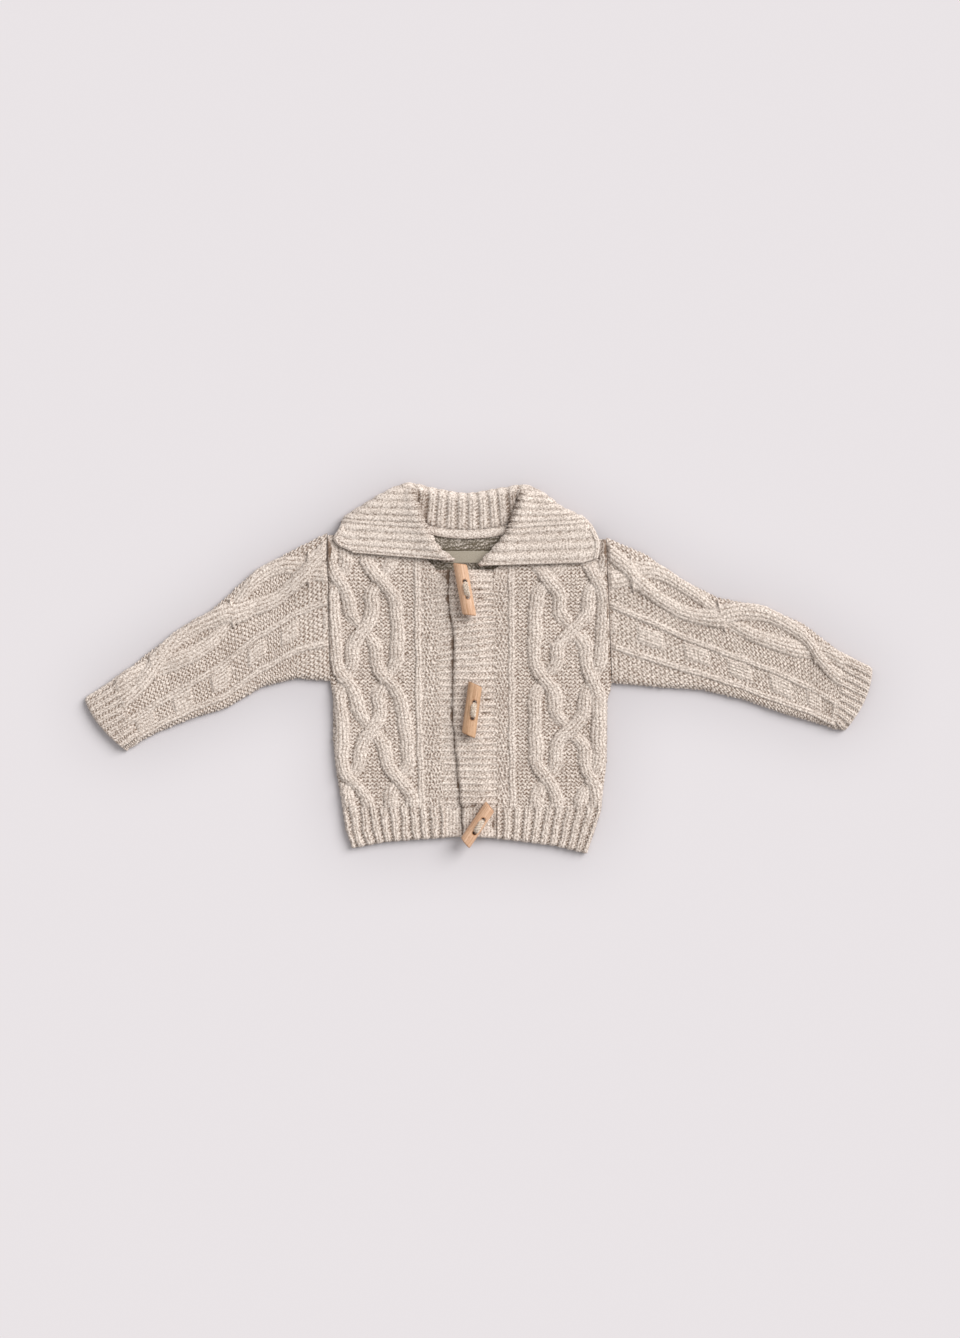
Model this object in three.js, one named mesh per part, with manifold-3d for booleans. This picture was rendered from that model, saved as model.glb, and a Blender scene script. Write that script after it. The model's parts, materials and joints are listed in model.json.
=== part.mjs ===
// A baby's cable-knit cardigan, laid flat on its back with its sleeves out to the sides.
// x runs across the chest, y up towards the collar, z up from the surface it lies on; millimetres.
// Left and right are as seen from above. The back lies lowest, the fronts on it, the right band
// over the left one, and the collar wraps from under the back over the shoulders onto the fronts.
import * as THREE from 'three';
import { mergeVertices } from 'three/addons/utils/BufferGeometryUtils.js';
import Module from 'manifold-3d';

const wasm = await Module();
wasm.setup();

// Cloth
const WALL = 3; // thickness of the plain knitted ground
const GAP = 0.3; // air between pieces that meet
const LAYER = WALL + GAP; // one layer of cloth and the air above it
const COLLAR_UNDER = LAYER; // how far the folded collar lifts the shoulders
const EDGE_ROUND = 4; // width over which an edge rounds off
const EDGE_KEEP = 0.45; // share of the thickness left at the very edge
const ROPE_WIDTH = 13.5; // a cable strand of four stitches
const ROPE_HEIGHT = 3.6;
const COLUMN_WIDTH = 6.5; // a raised column of two knit stitches
const COLUMN_HEIGHT = 1.4;
const RIB_PITCH = 9.8; // hem rib, crest to crest
const RIB_HEIGHT = 1.6;
const CUFF_RIB_PITCH = 7;
const CUFF_LENGTH = 32;
const BAND_RIB_PITCH = 6.2;
const BAND_RIB_HEIGHT = 1.2;
const COLLAR_RIB_HEIGHT = 1.2;
const FIRST_CABLE_ROW = 133.5; // height of the crossing row under the collar
const CABLE_ROW_PITCH = 47.5;
const CABLE_ROWS = 6;
const HEM_TOP = -130;
const SLEEVE_INSIDE = 0.8; // air inside a flattened sleeve
const SLEEVE_LENGTH = 250; // from armhole to cuff end
const CUFF_BOW = 6; // how far the middle of the cuff's end stands out
const ROPE_SPREAD = 0.145; // how far each strand of the sleeve rope swings, in sleeve widths
const TOP_SHARE = 0.6; // share of the points round a sleeve that lie on its upper side

// Plan outlines, as points from the hem upwards
const SIDE_LEFT = [
  { y: -170, x: -121 }, { y: -152, x: -128 }, { y: -129, x: -131 }, { y: -99, x: -136 },
  { y: -70, x: -139.5 }, { y: -28, x: -139.7 }, { y: -10.5, x: -142.5 }, { y: 128, x: -145 },
];
const SIDE_RIGHT = [
  { y: -174, x: 102 }, { y: -152, x: 109.5 }, { y: -133, x: 115.5 }, { y: -114, x: 117 },
  { y: -85, x: 120.7 }, { y: -30, x: 121 }, { y: -12, x: 125.4 }, { y: 124, x: 119.7 },
];
const HEM = [
  { x: -122, y: -169 }, { x: -90, y: -163.4 }, { x: -49, y: -160.5 }, { x: -10, y: -158.7 },
  { x: 26, y: -161.5 }, { x: 72, y: -167.2 }, { x: 103, y: -174 },
];
const SHOULDER_LEFT = [{ x: -145, y: 128 }, { x: -127, y: 127.5 }, { x: -76, y: 147 }];
const SHOULDER_RIGHT = [{ x: 51.5, y: 147 }, { x: 103, y: 124.5 }, { x: 119.7, y: 124 }];
const BACK_NECK = [
  { x: -76, y: 147 }, { x: -62, y: 140 }, { x: -47.5, y: 134.4 }, { x: -30, y: 131.4 },
  { x: -12, y: 130.4 }, { x: 6, y: 131.4 }, { x: 23, y: 134.4 }, { x: 37.5, y: 140 },
  { x: 51.5, y: 147 },
];
const INNER_LEFT = [ // seam of the left front with its band, then its neck edge
  { y: -160, x: -33.5 }, { y: -132, x: -34.5 }, { y: 97, x: -42.5 },
  { y: 108, x: -53 }, { y: 123, x: -67 }, { y: 147, x: -76 },
];
const INNER_RIGHT = [
  { y: -162, x: 16.2 }, { y: -132, x: 16.2 }, { y: 95, x: 12.6 },
  { y: 106, x: 28 }, { y: 123, x: 42 }, { y: 147, x: 51.5 },
];
const BAND_EDGE = [ // the visible edge of the right band, which lies over the left band
  { y: -160, x: -16 }, { y: -130, x: -17.6 }, { y: -116, x: -19 }, { y: -69, x: -23.8 },
  { y: -42, x: -25.7 }, { y: 32, x: -24.7 }, { y: 67, x: -29.5 }, { y: 96, x: -28.5 },
];
const BAND_TOP = 95.5;
const BAND_UNDERLAP = 18; // how far the left band reaches under the right one
const BAND_HEM = -132; // the cross ribs end here, above the hem rib
const COLLAR_LOWER_EDGE = [ // free edge of the collar on the fronts
  { x: -147, y: 131 }, { x: -140, y: 121 }, { x: -128, y: 113 }, { x: -96, y: 104.5 },
  { x: -46, y: 98.8 }, { x: -22, y: 102 }, { x: 9, y: 94.5 }, { x: 41, y: 94 },
  { x: 85, y: 98.8 }, { x: 110, y: 104 }, { x: 117, y: 124 },
];

// How far the folded collar lifts the cloth above it, down the length of the garment
const LIFT = [
  { y: 50, z: 0 }, { y: 59, z: 0.35 }, { y: 76, z: COLLAR_UNDER - 0.35 },
  { y: 85, z: COLLAR_UNDER },
];

// Lanes that the four cable strands keep between crossings, from the band outwards
const LANES_LEFT = [
  { y: -130, a: -64, b: -84, c: -105, d: -124 }, { y: -104, a: -66, b: -88, c: -115, d: -133 },
  { y: -57, a: -70, b: -91, c: -112.5, d: -130 }, { y: -9, a: -79, b: -99.5, c: -120, d: -136 },
  { y: 38, a: -78, b: -98, c: -122, d: -138 }, { y: 86, a: -83, b: -107, c: -127, d: -142 },
];
const LANES_RIGHT = [
  { y: -130, a: 54, b: 73, c: 95, d: 111 }, { y: -104, a: 54, b: 73.5, c: 100, d: 112.5 },
  { y: -57, a: 52.5, b: 71.5, c: 99.5, d: 113 }, { y: -9, a: 51.5, b: 72, c: 100, d: 113 },
  { y: 38, a: 52.5, b: 75, c: 102.5, d: 117 }, { y: 86, a: 54, b: 77, c: 103, d: 119 },
];
const COLUMN_LEFT = [{ y: -130, x: -55 }, { y: -40, x: -58 }, { y: 97, x: -59.5 }];
const COLUMN_RIGHT = [{ y: -130, x: 31 }, { y: 97, x: 29.5 }];

// Sleeves: upper and lower edge in plan at stations from the armhole to the cuff's end
const SLEEVE_LEFT = [
  { along: 0, ux: -145.3, uy: 130.5, lx: -142.8, ly: -10.5 },
  { along: 0.11, ux: -178, uy: 114, lx: -175, ly: -8 },
  { along: 0.3, ux: -216, uy: 93, lx: -207, ly: -16 },
  { along: 0.47, ux: -255, uy: 57, lx: -241, ly: -36 },
  { along: 0.63, ux: -292, uy: 34, lx: -275, ly: -46.5 },
  { along: 0.77, ux: -324, uy: 9.5, lx: -304, ly: -58 },
  { along: 0.89, ux: -351, uy: -12, lx: -328, ly: -70 },
  { along: 1, ux: -376, uy: -28, lx: -338, ly: -76 },
];
const SLEEVE_RIGHT = [
  { along: 0, ux: 120, uy: 126, lx: 125.7, ly: -12.5 },
  { along: 0.13, ux: 157.5, uy: 110, lx: 166, ly: -16 },
  { along: 0.28, ux: 191, uy: 86.5, lx: 212, ly: -19 },
  { along: 0.42, ux: 226, uy: 69, lx: 252, ly: -28.5 },
  { along: 0.58, ux: 271, uy: 60, lx: 290, ly: -42 },
  { along: 0.71, ux: 307, uy: 44.5, lx: 316, ly: -49.5 },
  { along: 0.86, ux: 343, uy: 17, lx: 334.5, ly: -55 },
  { along: 1, ux: 373.5, uy: 1, lx: 348, ly: -57 },
];
// Where the sleeve's raised columns run, as shares of its width from the upper edge
const SLEEVE_COLUMNS = [
  { along: 0, rope: 0.19, knit: 0.46, blocks: 0.59, low: 0.74 },
  { along: 0.26, rope: 0.19, knit: 0.55, blocks: 0.67, low: 0.84 },
  { along: 0.47, rope: 0.19, knit: 0.58, blocks: 0.71, low: 0.88 },
  { along: 0.67, rope: 0.2, knit: 0.64, blocks: 0.76, low: 0.9 },
  { along: 0.88, rope: 0.22, knit: 0.66, blocks: 0.79, low: 0.92 },
];
// Places along a sleeve as shares of its length: the rope's crossings, then the blocks
const FIRST_CROSSING = { left: 0.06, right: 0.08 };
const CROSSING_PITCH = 0.335;
const FIRST_BLOCK = 0.14;
const BLOCK_PITCH = 0.165;
const BLOCK_WIDTH = 14;

// Collar: one row a rib line, given in plan from neck seam over the roll to the cast-off edge.
// rib counts ribs from the left front end; a fold below a lobe's height wraps round the shoulder.
const COLLAR_ROWS = [
  { rib: 0, seam: [-33, 102], roll: [-24.5, 103.2], fold: [-118, 111], edge: [-134, 117.5],
    seamZ: 10.6, rollZ: 13.1, crestZ: 15.4, lobeZ: 13.9, foldZ: 13.5, edgeZ: 13.2 },
  { rib: 1.5, seam: [-52, 111.5], roll: [-39, 114], fold: [-126, 119.5], edge: [-139.5, 124.5],
    seamZ: 8.8, rollZ: 12.6, crestZ: 16, lobeZ: 13.2, foldZ: 12.9, edgeZ: 12.6 },
  { rib: 2.8, seam: [-64.5, 126], roll: [-47.4, 126.4], fold: [-126, 130.5], edge: [-134.5, 133.5],
    seamZ: 8.5, rollZ: 12.6, crestZ: 16, lobeZ: 12.7, foldZ: 12.4, edgeZ: 11.6 },
  { rib: 3.8, seam: [-67, 132], roll: [-50.8, 133.6], fold: [-127, 139], edge: [-131.5, 139],
    seamZ: 8.4, rollZ: 12.5, crestZ: 15.8, lobeZ: 12.6, foldZ: 10, edgeZ: 5 },
  { rib: 5, seam: [-69.5, 139], roll: [-55, 142], fold: [-127, 144.6], edge: [-131, 131],
    seamZ: 8.2, rollZ: 12.4, crestZ: 15.6, lobeZ: 12.5, foldZ: 6.6, edgeZ: 1.5 },
  { rib: 6.8, seam: [-72.4, 149], roll: [-60, 155.8], fold: [-107.5, 157], edge: [-121, 118],
    seamZ: 7.5, rollZ: 12, crestZ: 14.8, lobeZ: 11.8, foldZ: 5.4, edgeZ: 1.5 },
  { rib: 8.2, seam: [-71.5, 152], roll: [-63, 167], fold: [-89.5, 167.5], edge: [-110, 112],
    seamZ: 6.3, rollZ: 10.6, crestZ: 12, lobeZ: 9.4, foldZ: 4.5, edgeZ: 1.5 },
  { rib: 9.3, seam: [-65.5, 145.5], roll: [-61, 168], fold: [-68.5, 175], edge: [-92, 97],
    seamZ: 5.2, rollZ: 8.4, crestZ: 8, lobeZ: 6, foldZ: 3.4, edgeZ: 1.5 },
  { rib: 11, seam: [-47.5, 137], roll: [-45, 163], fold: [-44.5, 170.2], edge: [-54, 90],
    seamZ: 4.9, rollZ: 7.4, crestZ: 7, lobeZ: 5.2, foldZ: 3, edgeZ: 1.5 },
  { rib: 14, seam: [-12.4, 133], roll: [-12.4, 158.2], fold: [-12.4, 165.4], edge: [-12.4, 86.5],
    seamZ: 4.9, rollZ: 7.4, crestZ: 7, lobeZ: 5.2, foldZ: 3, edgeZ: 1.5 },
  { rib: 17, seam: [23, 137], roll: [20.5, 163], fold: [20, 170.2], edge: [29, 90],
    seamZ: 4.9, rollZ: 7.4, crestZ: 7, lobeZ: 5.2, foldZ: 3, edgeZ: 1.5 },
  { rib: 18.7, seam: [41, 145.5], roll: [37.5, 167], fold: [44, 173], edge: [67, 97],
    seamZ: 5.2, rollZ: 8.4, crestZ: 8, lobeZ: 6, foldZ: 3.4, edgeZ: 1.5 },
  { rib: 19.8, seam: [47, 152], roll: [39.3, 166], fold: [64, 163.5], edge: [82, 112],
    seamZ: 6.3, rollZ: 10.6, crestZ: 12, lobeZ: 9.4, foldZ: 4.5, edgeZ: 1.5 },
  { rib: 21.2, seam: [48, 149], roll: [36.5, 155.8], fold: [76, 154], edge: [90, 118],
    seamZ: 7.5, rollZ: 12, crestZ: 14.8, lobeZ: 11.8, foldZ: 5.4, edgeZ: 1.5 },
  { rib: 23, seam: [45.5, 139], roll: [31.5, 142], fold: [97, 144], edge: [102, 130],
    seamZ: 8.2, rollZ: 12.4, crestZ: 15.6, lobeZ: 12.5, foldZ: 6.6, edgeZ: 1.5 },
  { rib: 24.2, seam: [42, 132], roll: [28, 133.6], fold: [100.5, 138.5], edge: [105, 138.5],
    seamZ: 8.4, rollZ: 12.5, crestZ: 15.8, lobeZ: 12.6, foldZ: 10, edgeZ: 5 },
  { rib: 25.2, seam: [39.5, 126], roll: [24.4, 126.4], fold: [101.5, 130], edge: [109.5, 132],
    seamZ: 8.5, rollZ: 12.6, crestZ: 16, lobeZ: 12.7, foldZ: 12.4, edgeZ: 11.6 },
  { rib: 26.5, seam: [26.5, 111.5], roll: [13.5, 113.5], fold: [101, 117], edge: [114, 120],
    seamZ: 8.8, rollZ: 12.6, crestZ: 16, lobeZ: 13.2, foldZ: 12.9, edgeZ: 12.6 },
  { rib: 28, seam: [8, 99.4], roll: [-0.5, 98.8], fold: [97, 101.5], edge: [112, 106],
    seamZ: 10.9, rollZ: 13.3, crestZ: 15.8, lobeZ: 14.1, foldZ: 13.7, edgeZ: 13.3 },
];
const COLLAR_RIBS = 28;
const CREST_OUT = 4.4; // from the roll line out to its crest

// Toggles: the middle of each end in plan, the height of that end's middle, and the width
const TOGGLE_THICKNESS = 10;
const TOGGLE_HOLE = 4;
const YARN_ROUND = 3.2;
const HOLES_APART = 15;
const TOGGLES = [
  { head: [-19, 100.6], foot: [-10, 51.8], headZ: 21, footZ: 19.7, width: 12.8, yarnSide: 1.6 },
  { head: [-4.3, -13.3], foot: [-10.9, -62.2], headZ: 17.3, footZ: 17.3, width: 13.4, yarnSide: 1.5 },
  { head: [9.5, -129.2], foot: [-14.2, -164.3], headZ: 17.3, footZ: 15.7, width: 12.4, yarnSide: 1.8 },
];

const LABEL = { left: -36, right: 17, bottom: 101.5, top: 113, thickness: 0.8 };
const BINDING = { left: -50, right: 26, drop: 0.9, width: 6.5, thickness: 1.2 };

const OATMEAL = 0xd6c3b3;

const finish = (name, color, roughness) => (
  new THREE.MeshStandardMaterial({ name, color, roughness, metalness: 0 }));
const yarn = (name) => finish(name, OATMEAL, 0.95);
const WOOD = finish('wood', 0xcfa27c, 0.55);
const TAPE = finish('tape', 0xdad3c4, 0.85);

const lerp = THREE.MathUtils.lerp;
const smooth = (x, low, high) => THREE.MathUtils.smoothstep(x, low, high);

// Reads a column of a table of rows at any value of its key, along straight lines.
function read(rows, key, column, value) {
  const last = rows.length - 1;
  let i = 0;
  while (i < last - 1 && rows[i + 1][key] < value) i += 1;
  const share = (value - rows[i][key]) / (rows[i + 1][key] - rows[i][key]);
  return lerp(rows[i][column], rows[i + 1][column], THREE.MathUtils.clamp(share, 0, 1));
}

// Evenly spaced shares from 0 to 1, with two more beside each end where an edge rounds off.
function shares(cells, edge) {
  const inner = Array.from({ length: cells + 1 }, (_, i) => lerp(edge, 1 - edge, i / cells));
  return edge > 0 ? [0, edge * 0.35, ...inner, 1 - edge * 0.35, 1] : inner;
}

// A grid of points from point(u, v), kept with its shares for closing its edges.
function grid(us, vs, point) {
  return { us, vs, rows: vs.map((v) => us.map((u) => point(u, v))) };
}

// Collects points and triangles, and turns them to face outwards.
class Solid {
  constructor() {
    this.points = [];
    this.faces = [];
  }

  add(points) {
    return points.map((p) => this.points.push(p) - 1);
  }

  // Fills between two rows of a grid.
  sheet(rows, flip) {
    for (let j = 0; j + 1 < rows.length; j += 1) {
      for (let i = 0; i + 1 < rows[j].length; i += 1) {
        const [a, b, c, d] = [rows[j][i], rows[j][i + 1], rows[j + 1][i + 1], rows[j + 1][i]];
        if (flip) this.faces.push([a, c, b], [a, d, c]);
        else this.faces.push([a, b, c], [a, c, d]);
      }
    }
  }

  // Joins two edges that run the same way but have points at different shares.
  zip(low, lowShares, high, highShares) {
    let [i, j] = [0, 0];
    while (i < low.length - 1 || j < high.length - 1) {
      const lowNext = i < low.length - 1 ? lowShares[i + 1] : Infinity;
      const highNext = j < high.length - 1 ? highShares[j + 1] : Infinity;
      if (lowNext <= highNext) {
        this.faces.push([low[i], low[i + 1], high[j]]);
        i += 1;
      } else {
        this.faces.push([low[i], high[j + 1], high[j]]);
        j += 1;
      }
    }
  }

  geometry() {
    let volume = 0;
    for (const [a, b, c] of this.faces) {
      const [p, q, r] = [this.points[a], this.points[b], this.points[c]];
      volume += p.dot(new THREE.Vector3().crossVectors(q, r));
    }
    const faces = volume < 0 ? this.faces.map(([a, b, c]) => [a, c, b]) : this.faces;
    const geometry = new THREE.BufferGeometry();
    geometry.setAttribute('position',
      new THREE.Float32BufferAttribute(this.points.flatMap((p) => [p.x, p.y, p.z]), 3));
    geometry.setIndex(faces.flat());
    geometry.computeVertexNormals();
    return geometry;
  }
}

// A wall of cloth between an outer and an inner grid that share their outline.
function wall(outer, inner) {
  const solid = new Solid();
  const high = outer.rows.map((row) => solid.add(row));
  const low = inner.rows.map((row) => solid.add(row));
  solid.sheet(high, false);
  solid.sheet(low, true);
  const column = (rows, at) => rows.map((row) => row.at(at));
  const backwards = (list) => [...list].reverse();
  const turned = (list) => backwards(list).map((share) => 1 - share);
  solid.zip(low[0], inner.us, high[0], outer.us);
  solid.zip(column(low, -1), inner.vs, column(high, -1), outer.vs);
  solid.zip(backwards(low.at(-1)), turned(inner.us), backwards(high.at(-1)), turned(outer.us));
  solid.zip(backwards(column(low, 0)), turned(inner.vs), backwards(column(high, 0)), turned(outer.vs));
  return solid.geometry();
}

// A tube between an outer and an inner grid that close on themselves along u.
function tube(outer, inner) {
  const solid = new Solid();
  const closed = (source) => source.rows.map((row) => {
    const ring = solid.add(row);
    return [...ring, ring[0]];
  });
  const high = closed(outer);
  const low = closed(inner);
  solid.sheet(high, false);
  solid.sheet(low, true);
  const [highShares, lowShares] = [[...outer.us, 1], [...inner.us, 1]];
  solid.zip(low[0], lowShares, high[0], highShares);
  const turned = (list) => [...list].reverse().map((share) => 1 - share);
  solid.zip([...low.at(-1)].reverse(), turned(lowShares), [...high.at(-1)].reverse(), turned(highShares));
  return solid.geometry();
}

// Round-topped ridge of a given width, centred where distance is 0.
function ridge(distance, width) {
  const share = Math.abs(distance) / (width / 2);
  return share >= 1 ? 0 : Math.sqrt(1 - share * share);
}

// Crests and grooves of a rib, from 0 to 1.
const rib = (distance, pitch) => 0.5 + 0.5 * Math.cos((2 * Math.PI * distance) / pitch);

const lift = (y) => read(LIFT, 'y', 'z', y);

// Share of the thickness that is left near an edge, by distance from it.
function rounding(distance) {
  const share = THREE.MathUtils.clamp(distance / EDGE_ROUND, 0, 1);
  return lerp(EDGE_KEEP, 1, Math.sqrt(1 - (1 - share) ** 2));
}

// Height of the cable lattice: four strands that swap lanes at the crossing rows.
function lattice(lanes, x, y) {
  const names = ['a', 'b', 'c', 'd'];
  const order = [0, 1, 2, 3]; // order[strand] is the lane it keeps
  const row = Math.floor((FIRST_CABLE_ROW - y) / CABLE_ROW_PITCH + 0.5);
  const centre = FIRST_CABLE_ROW - row * CABLE_ROW_PITCH;
  const swaps = (index) => (index % 2 === 0 ? [[1, 2]] : [[0, 1], [2, 3]]);
  const swap = (index) => order.map((lane) => {
    const pair = swaps(index).find((two) => two.includes(lane));
    return pair ? pair[0] + pair[1] - lane : lane;
  });
  const after = row < CABLE_ROWS ? swap(row) : order;
  const turn = smooth(centre - y, -0.36 * CABLE_ROW_PITCH, 0.36 * CABLE_ROW_PITCH);
  let height = 0;
  for (let strand = 0; strand < names.length; strand += 1) {
    const from = read(lanes, 'y', names[order[strand]], y);
    const to = read(lanes, 'y', names[after[strand]], y);
    height = Math.max(height, ridge(x - lerp(from, to, turn), ROPE_WIDTH) * ROPE_HEIGHT);
  }
  return height;
}

// Relief of a front: cables and edge column above the hem, upright ribs in the hem.
function frontRelief(lanes, columnLine, seamX, x, y) {
  const cables = Math.max(
    lattice(lanes, x, y),
    ridge(x - read(columnLine, 'y', 'x', y), COLUMN_WIDTH) * COLUMN_HEIGHT,
  );
  const ribs = rib(x - seamX, RIB_PITCH) * RIB_HEIGHT;
  const inHem = 1 - smooth(y, HEM_TOP - 4, HEM_TOP + 4);
  const edgeY = read(COLLAR_LOWER_EDGE, 'x', 'y', x);
  return lerp(cables, ribs, inHem) * (1 - smooth(y, edgeY - 5, edgeY + 6));
}

// Plan point of a panel: x between its two sides, y from the hem over a level line to its top.
function panelPlan(left, right, top) {
  const level = LIFT.at(-1).y;
  return (u, v) => {
    const guess = (line) => lerp(line[0].x, line.at(-1).x, u);
    const low = read(HEM, 'x', 'y', lerp(read(left, 'y', 'x', -160), read(right, 'y', 'x', -160), u));
    const y = v < 0.5 ? lerp(low, level, v * 2) : lerp(level, read(top, 'x', 'y', guess(top)), v * 2 - 1);
    return { x: lerp(read(left, 'y', 'x', y), read(right, 'y', 'x', y), u), y };
  };
}

// Rows of a panel: even steps below the collar, the knots of the lift, and even steps above.
function panelRows(below, above) {
  const low = -165;
  const level = LIFT.at(-1).y;
  const share = (y) => (0.5 * (y - low)) / (level - low);
  const lower = Array.from({ length: below }, (_, i) => (0.5 * i) / below);
  const knots = LIFT.map((row) => share(row.y));
  const upper = Array.from({ length: above }, (_, i) => 0.5 + (0.5 * (i + 1)) / above);
  const step = 0.25 / below;
  const kept = lower.filter((v) => knots.every((knot) => Math.abs(knot - v) > step));
  return [...kept, ...knots, ...upper].sort((a, b) => a - b);
}

// The back: plain, flat on the table, lifted at the shoulders by the collar folded under it.
function buildBack() {
  const top = [...SHOULDER_LEFT.slice(0, -1), ...BACK_NECK, ...SHOULDER_RIGHT.slice(1)];
  const plan = panelPlan(SIDE_LEFT, SIDE_RIGHT, top);
  const us = [0, 0.015, 0.1, 0.2, ...BACK_NECK.map((p) => (p.x + 145) / 264.7), 0.82, 0.9, 0.985, 1];
  const vs = panelRows(5, 3);
  const upper = grid(us, vs, (u, v) => {
    const { x, y } = plan(u, v);
    return new THREE.Vector3(x, y, lift(y) + WALL);
  });
  const lower = grid(us, vs, (u, v) => {
    const { x, y } = plan(u, v);
    return new THREE.Vector3(x, y, lift(y));
  });
  return wall(upper, lower);
}

// A front: lies on the back, from its side seam and armhole to the seam with its band.
function buildFront({ outer, inner, shoulder, lanes, column }) {
  const ribs = 10;
  const [left, right] = outer[0].x < 0 ? [outer, inner] : [inner, outer];
  const plan = panelPlan(left, right, shoulder);
  const us = shares(ribs * 2, 0.035);
  const upper = grid(us, [0, 0.004, ...panelRows(36, 8).slice(1)], (u, v) => {
    const { x, y } = plan(u, v);
    const width = read(right, 'y', 'x', y) - read(left, 'y', 'x', y);
    const rise = y - plan(u, 0).y;
    const keep = Math.min(rounding(Math.min(u, 1 - u) * width), rounding(rise));
    const relief = frontRelief(lanes, column, inner[0].x, x, y);
    return new THREE.Vector3(x, y, lift(y) + LAYER + (WALL + relief) * keep);
  });
  const lower = grid([0, 0.25, 0.5, 0.75, 1], panelRows(4, 3), (u, v) => {
    const { x, y } = plan(u, v);
    return new THREE.Vector3(x, y, lift(y) + LAYER);
  });
  return wall(upper, lower);
}

// A front band with cross ribs, flat under its neighbour or stepped down off the other band.
function buildBand(leftX, rightX, baseAt) {
  const ribs = Math.round((BAND_TOP - BAND_HEM) / BAND_RIB_PITCH);
  const low = (x) => read(HEM, 'x', 'y', x) + 0.5;
  const us = [0, 0.08, 0.36, 0.64, 0.92, 1];
  const steps = ribs * 2;
  const crossRibs = Array.from({ length: steps + 1 }, (_, i) => lerp(0.12, 1, i / steps));
  const knots = LIFT.map((row) => 0.12 + (0.88 * (row.y - BAND_HEM)) / (BAND_TOP - BAND_HEM));
  const plan = (u, v) => {
    const x0 = lerp(leftX(BAND_HEM), rightX(BAND_HEM), u);
    const y = v < 0.12 ? lerp(low(x0), BAND_HEM, v / 0.12) : lerp(BAND_HEM, BAND_TOP, (v - 0.12) / 0.88);
    return { x: lerp(leftX(y), rightX(y), u), y };
  };
  const vs = [0, 0.02, 0.06, 0.1, ...crossRibs];
  const upper = grid(us, vs, (u, v) => {
    const { x, y } = plan(u, v);
    const width = rightX(y) - leftX(y);
    const ends = Math.min(y - plan(u, 0).y, BAND_TOP - y);
    const keep = Math.min(rounding(Math.min(u, 1 - u) * width), rounding(ends));
    const inRibs = smooth(v, 0.1, 0.13) * smooth(BAND_TOP - y, 2, 10);
    const ridgeHeight = rib(y - BAND_HEM, BAND_RIB_PITCH) * BAND_RIB_HEIGHT * inRibs;
    return new THREE.Vector3(x, y, baseAt(x, y) + (WALL + ridgeHeight) * keep);
  });
  const lower = grid([0, 0.3, 0.52, 0.76, 1], [0, 0.12, 0.4, ...knots, 1], (u, v) => {
    const { x, y } = plan(u, v);
    return new THREE.Vector3(x, y, baseAt(x, y));
  });
  return wall(upper, lower);
}

const bandEdge = (y) => read(BAND_EDGE, 'y', 'x', y);
const seamLeft = (y) => read(INNER_LEFT, 'y', 'x', y) + GAP;
const seamRight = (y) => read(INNER_RIGHT, 'y', 'x', y) - GAP;
const underlapEdge = (y) => bandEdge(y) + BAND_UNDERLAP;

// Base of the right band: above the left band's ribs, then down onto the back.
function rightBandBase(x, y) {
  const clear = underlapEdge(y) + 0.6;
  const above = LAYER * 2 + BAND_RIB_HEIGHT;
  return lift(y) + lerp(above, LAYER, smooth(x, clear, seamRight(y)));
}

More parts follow.
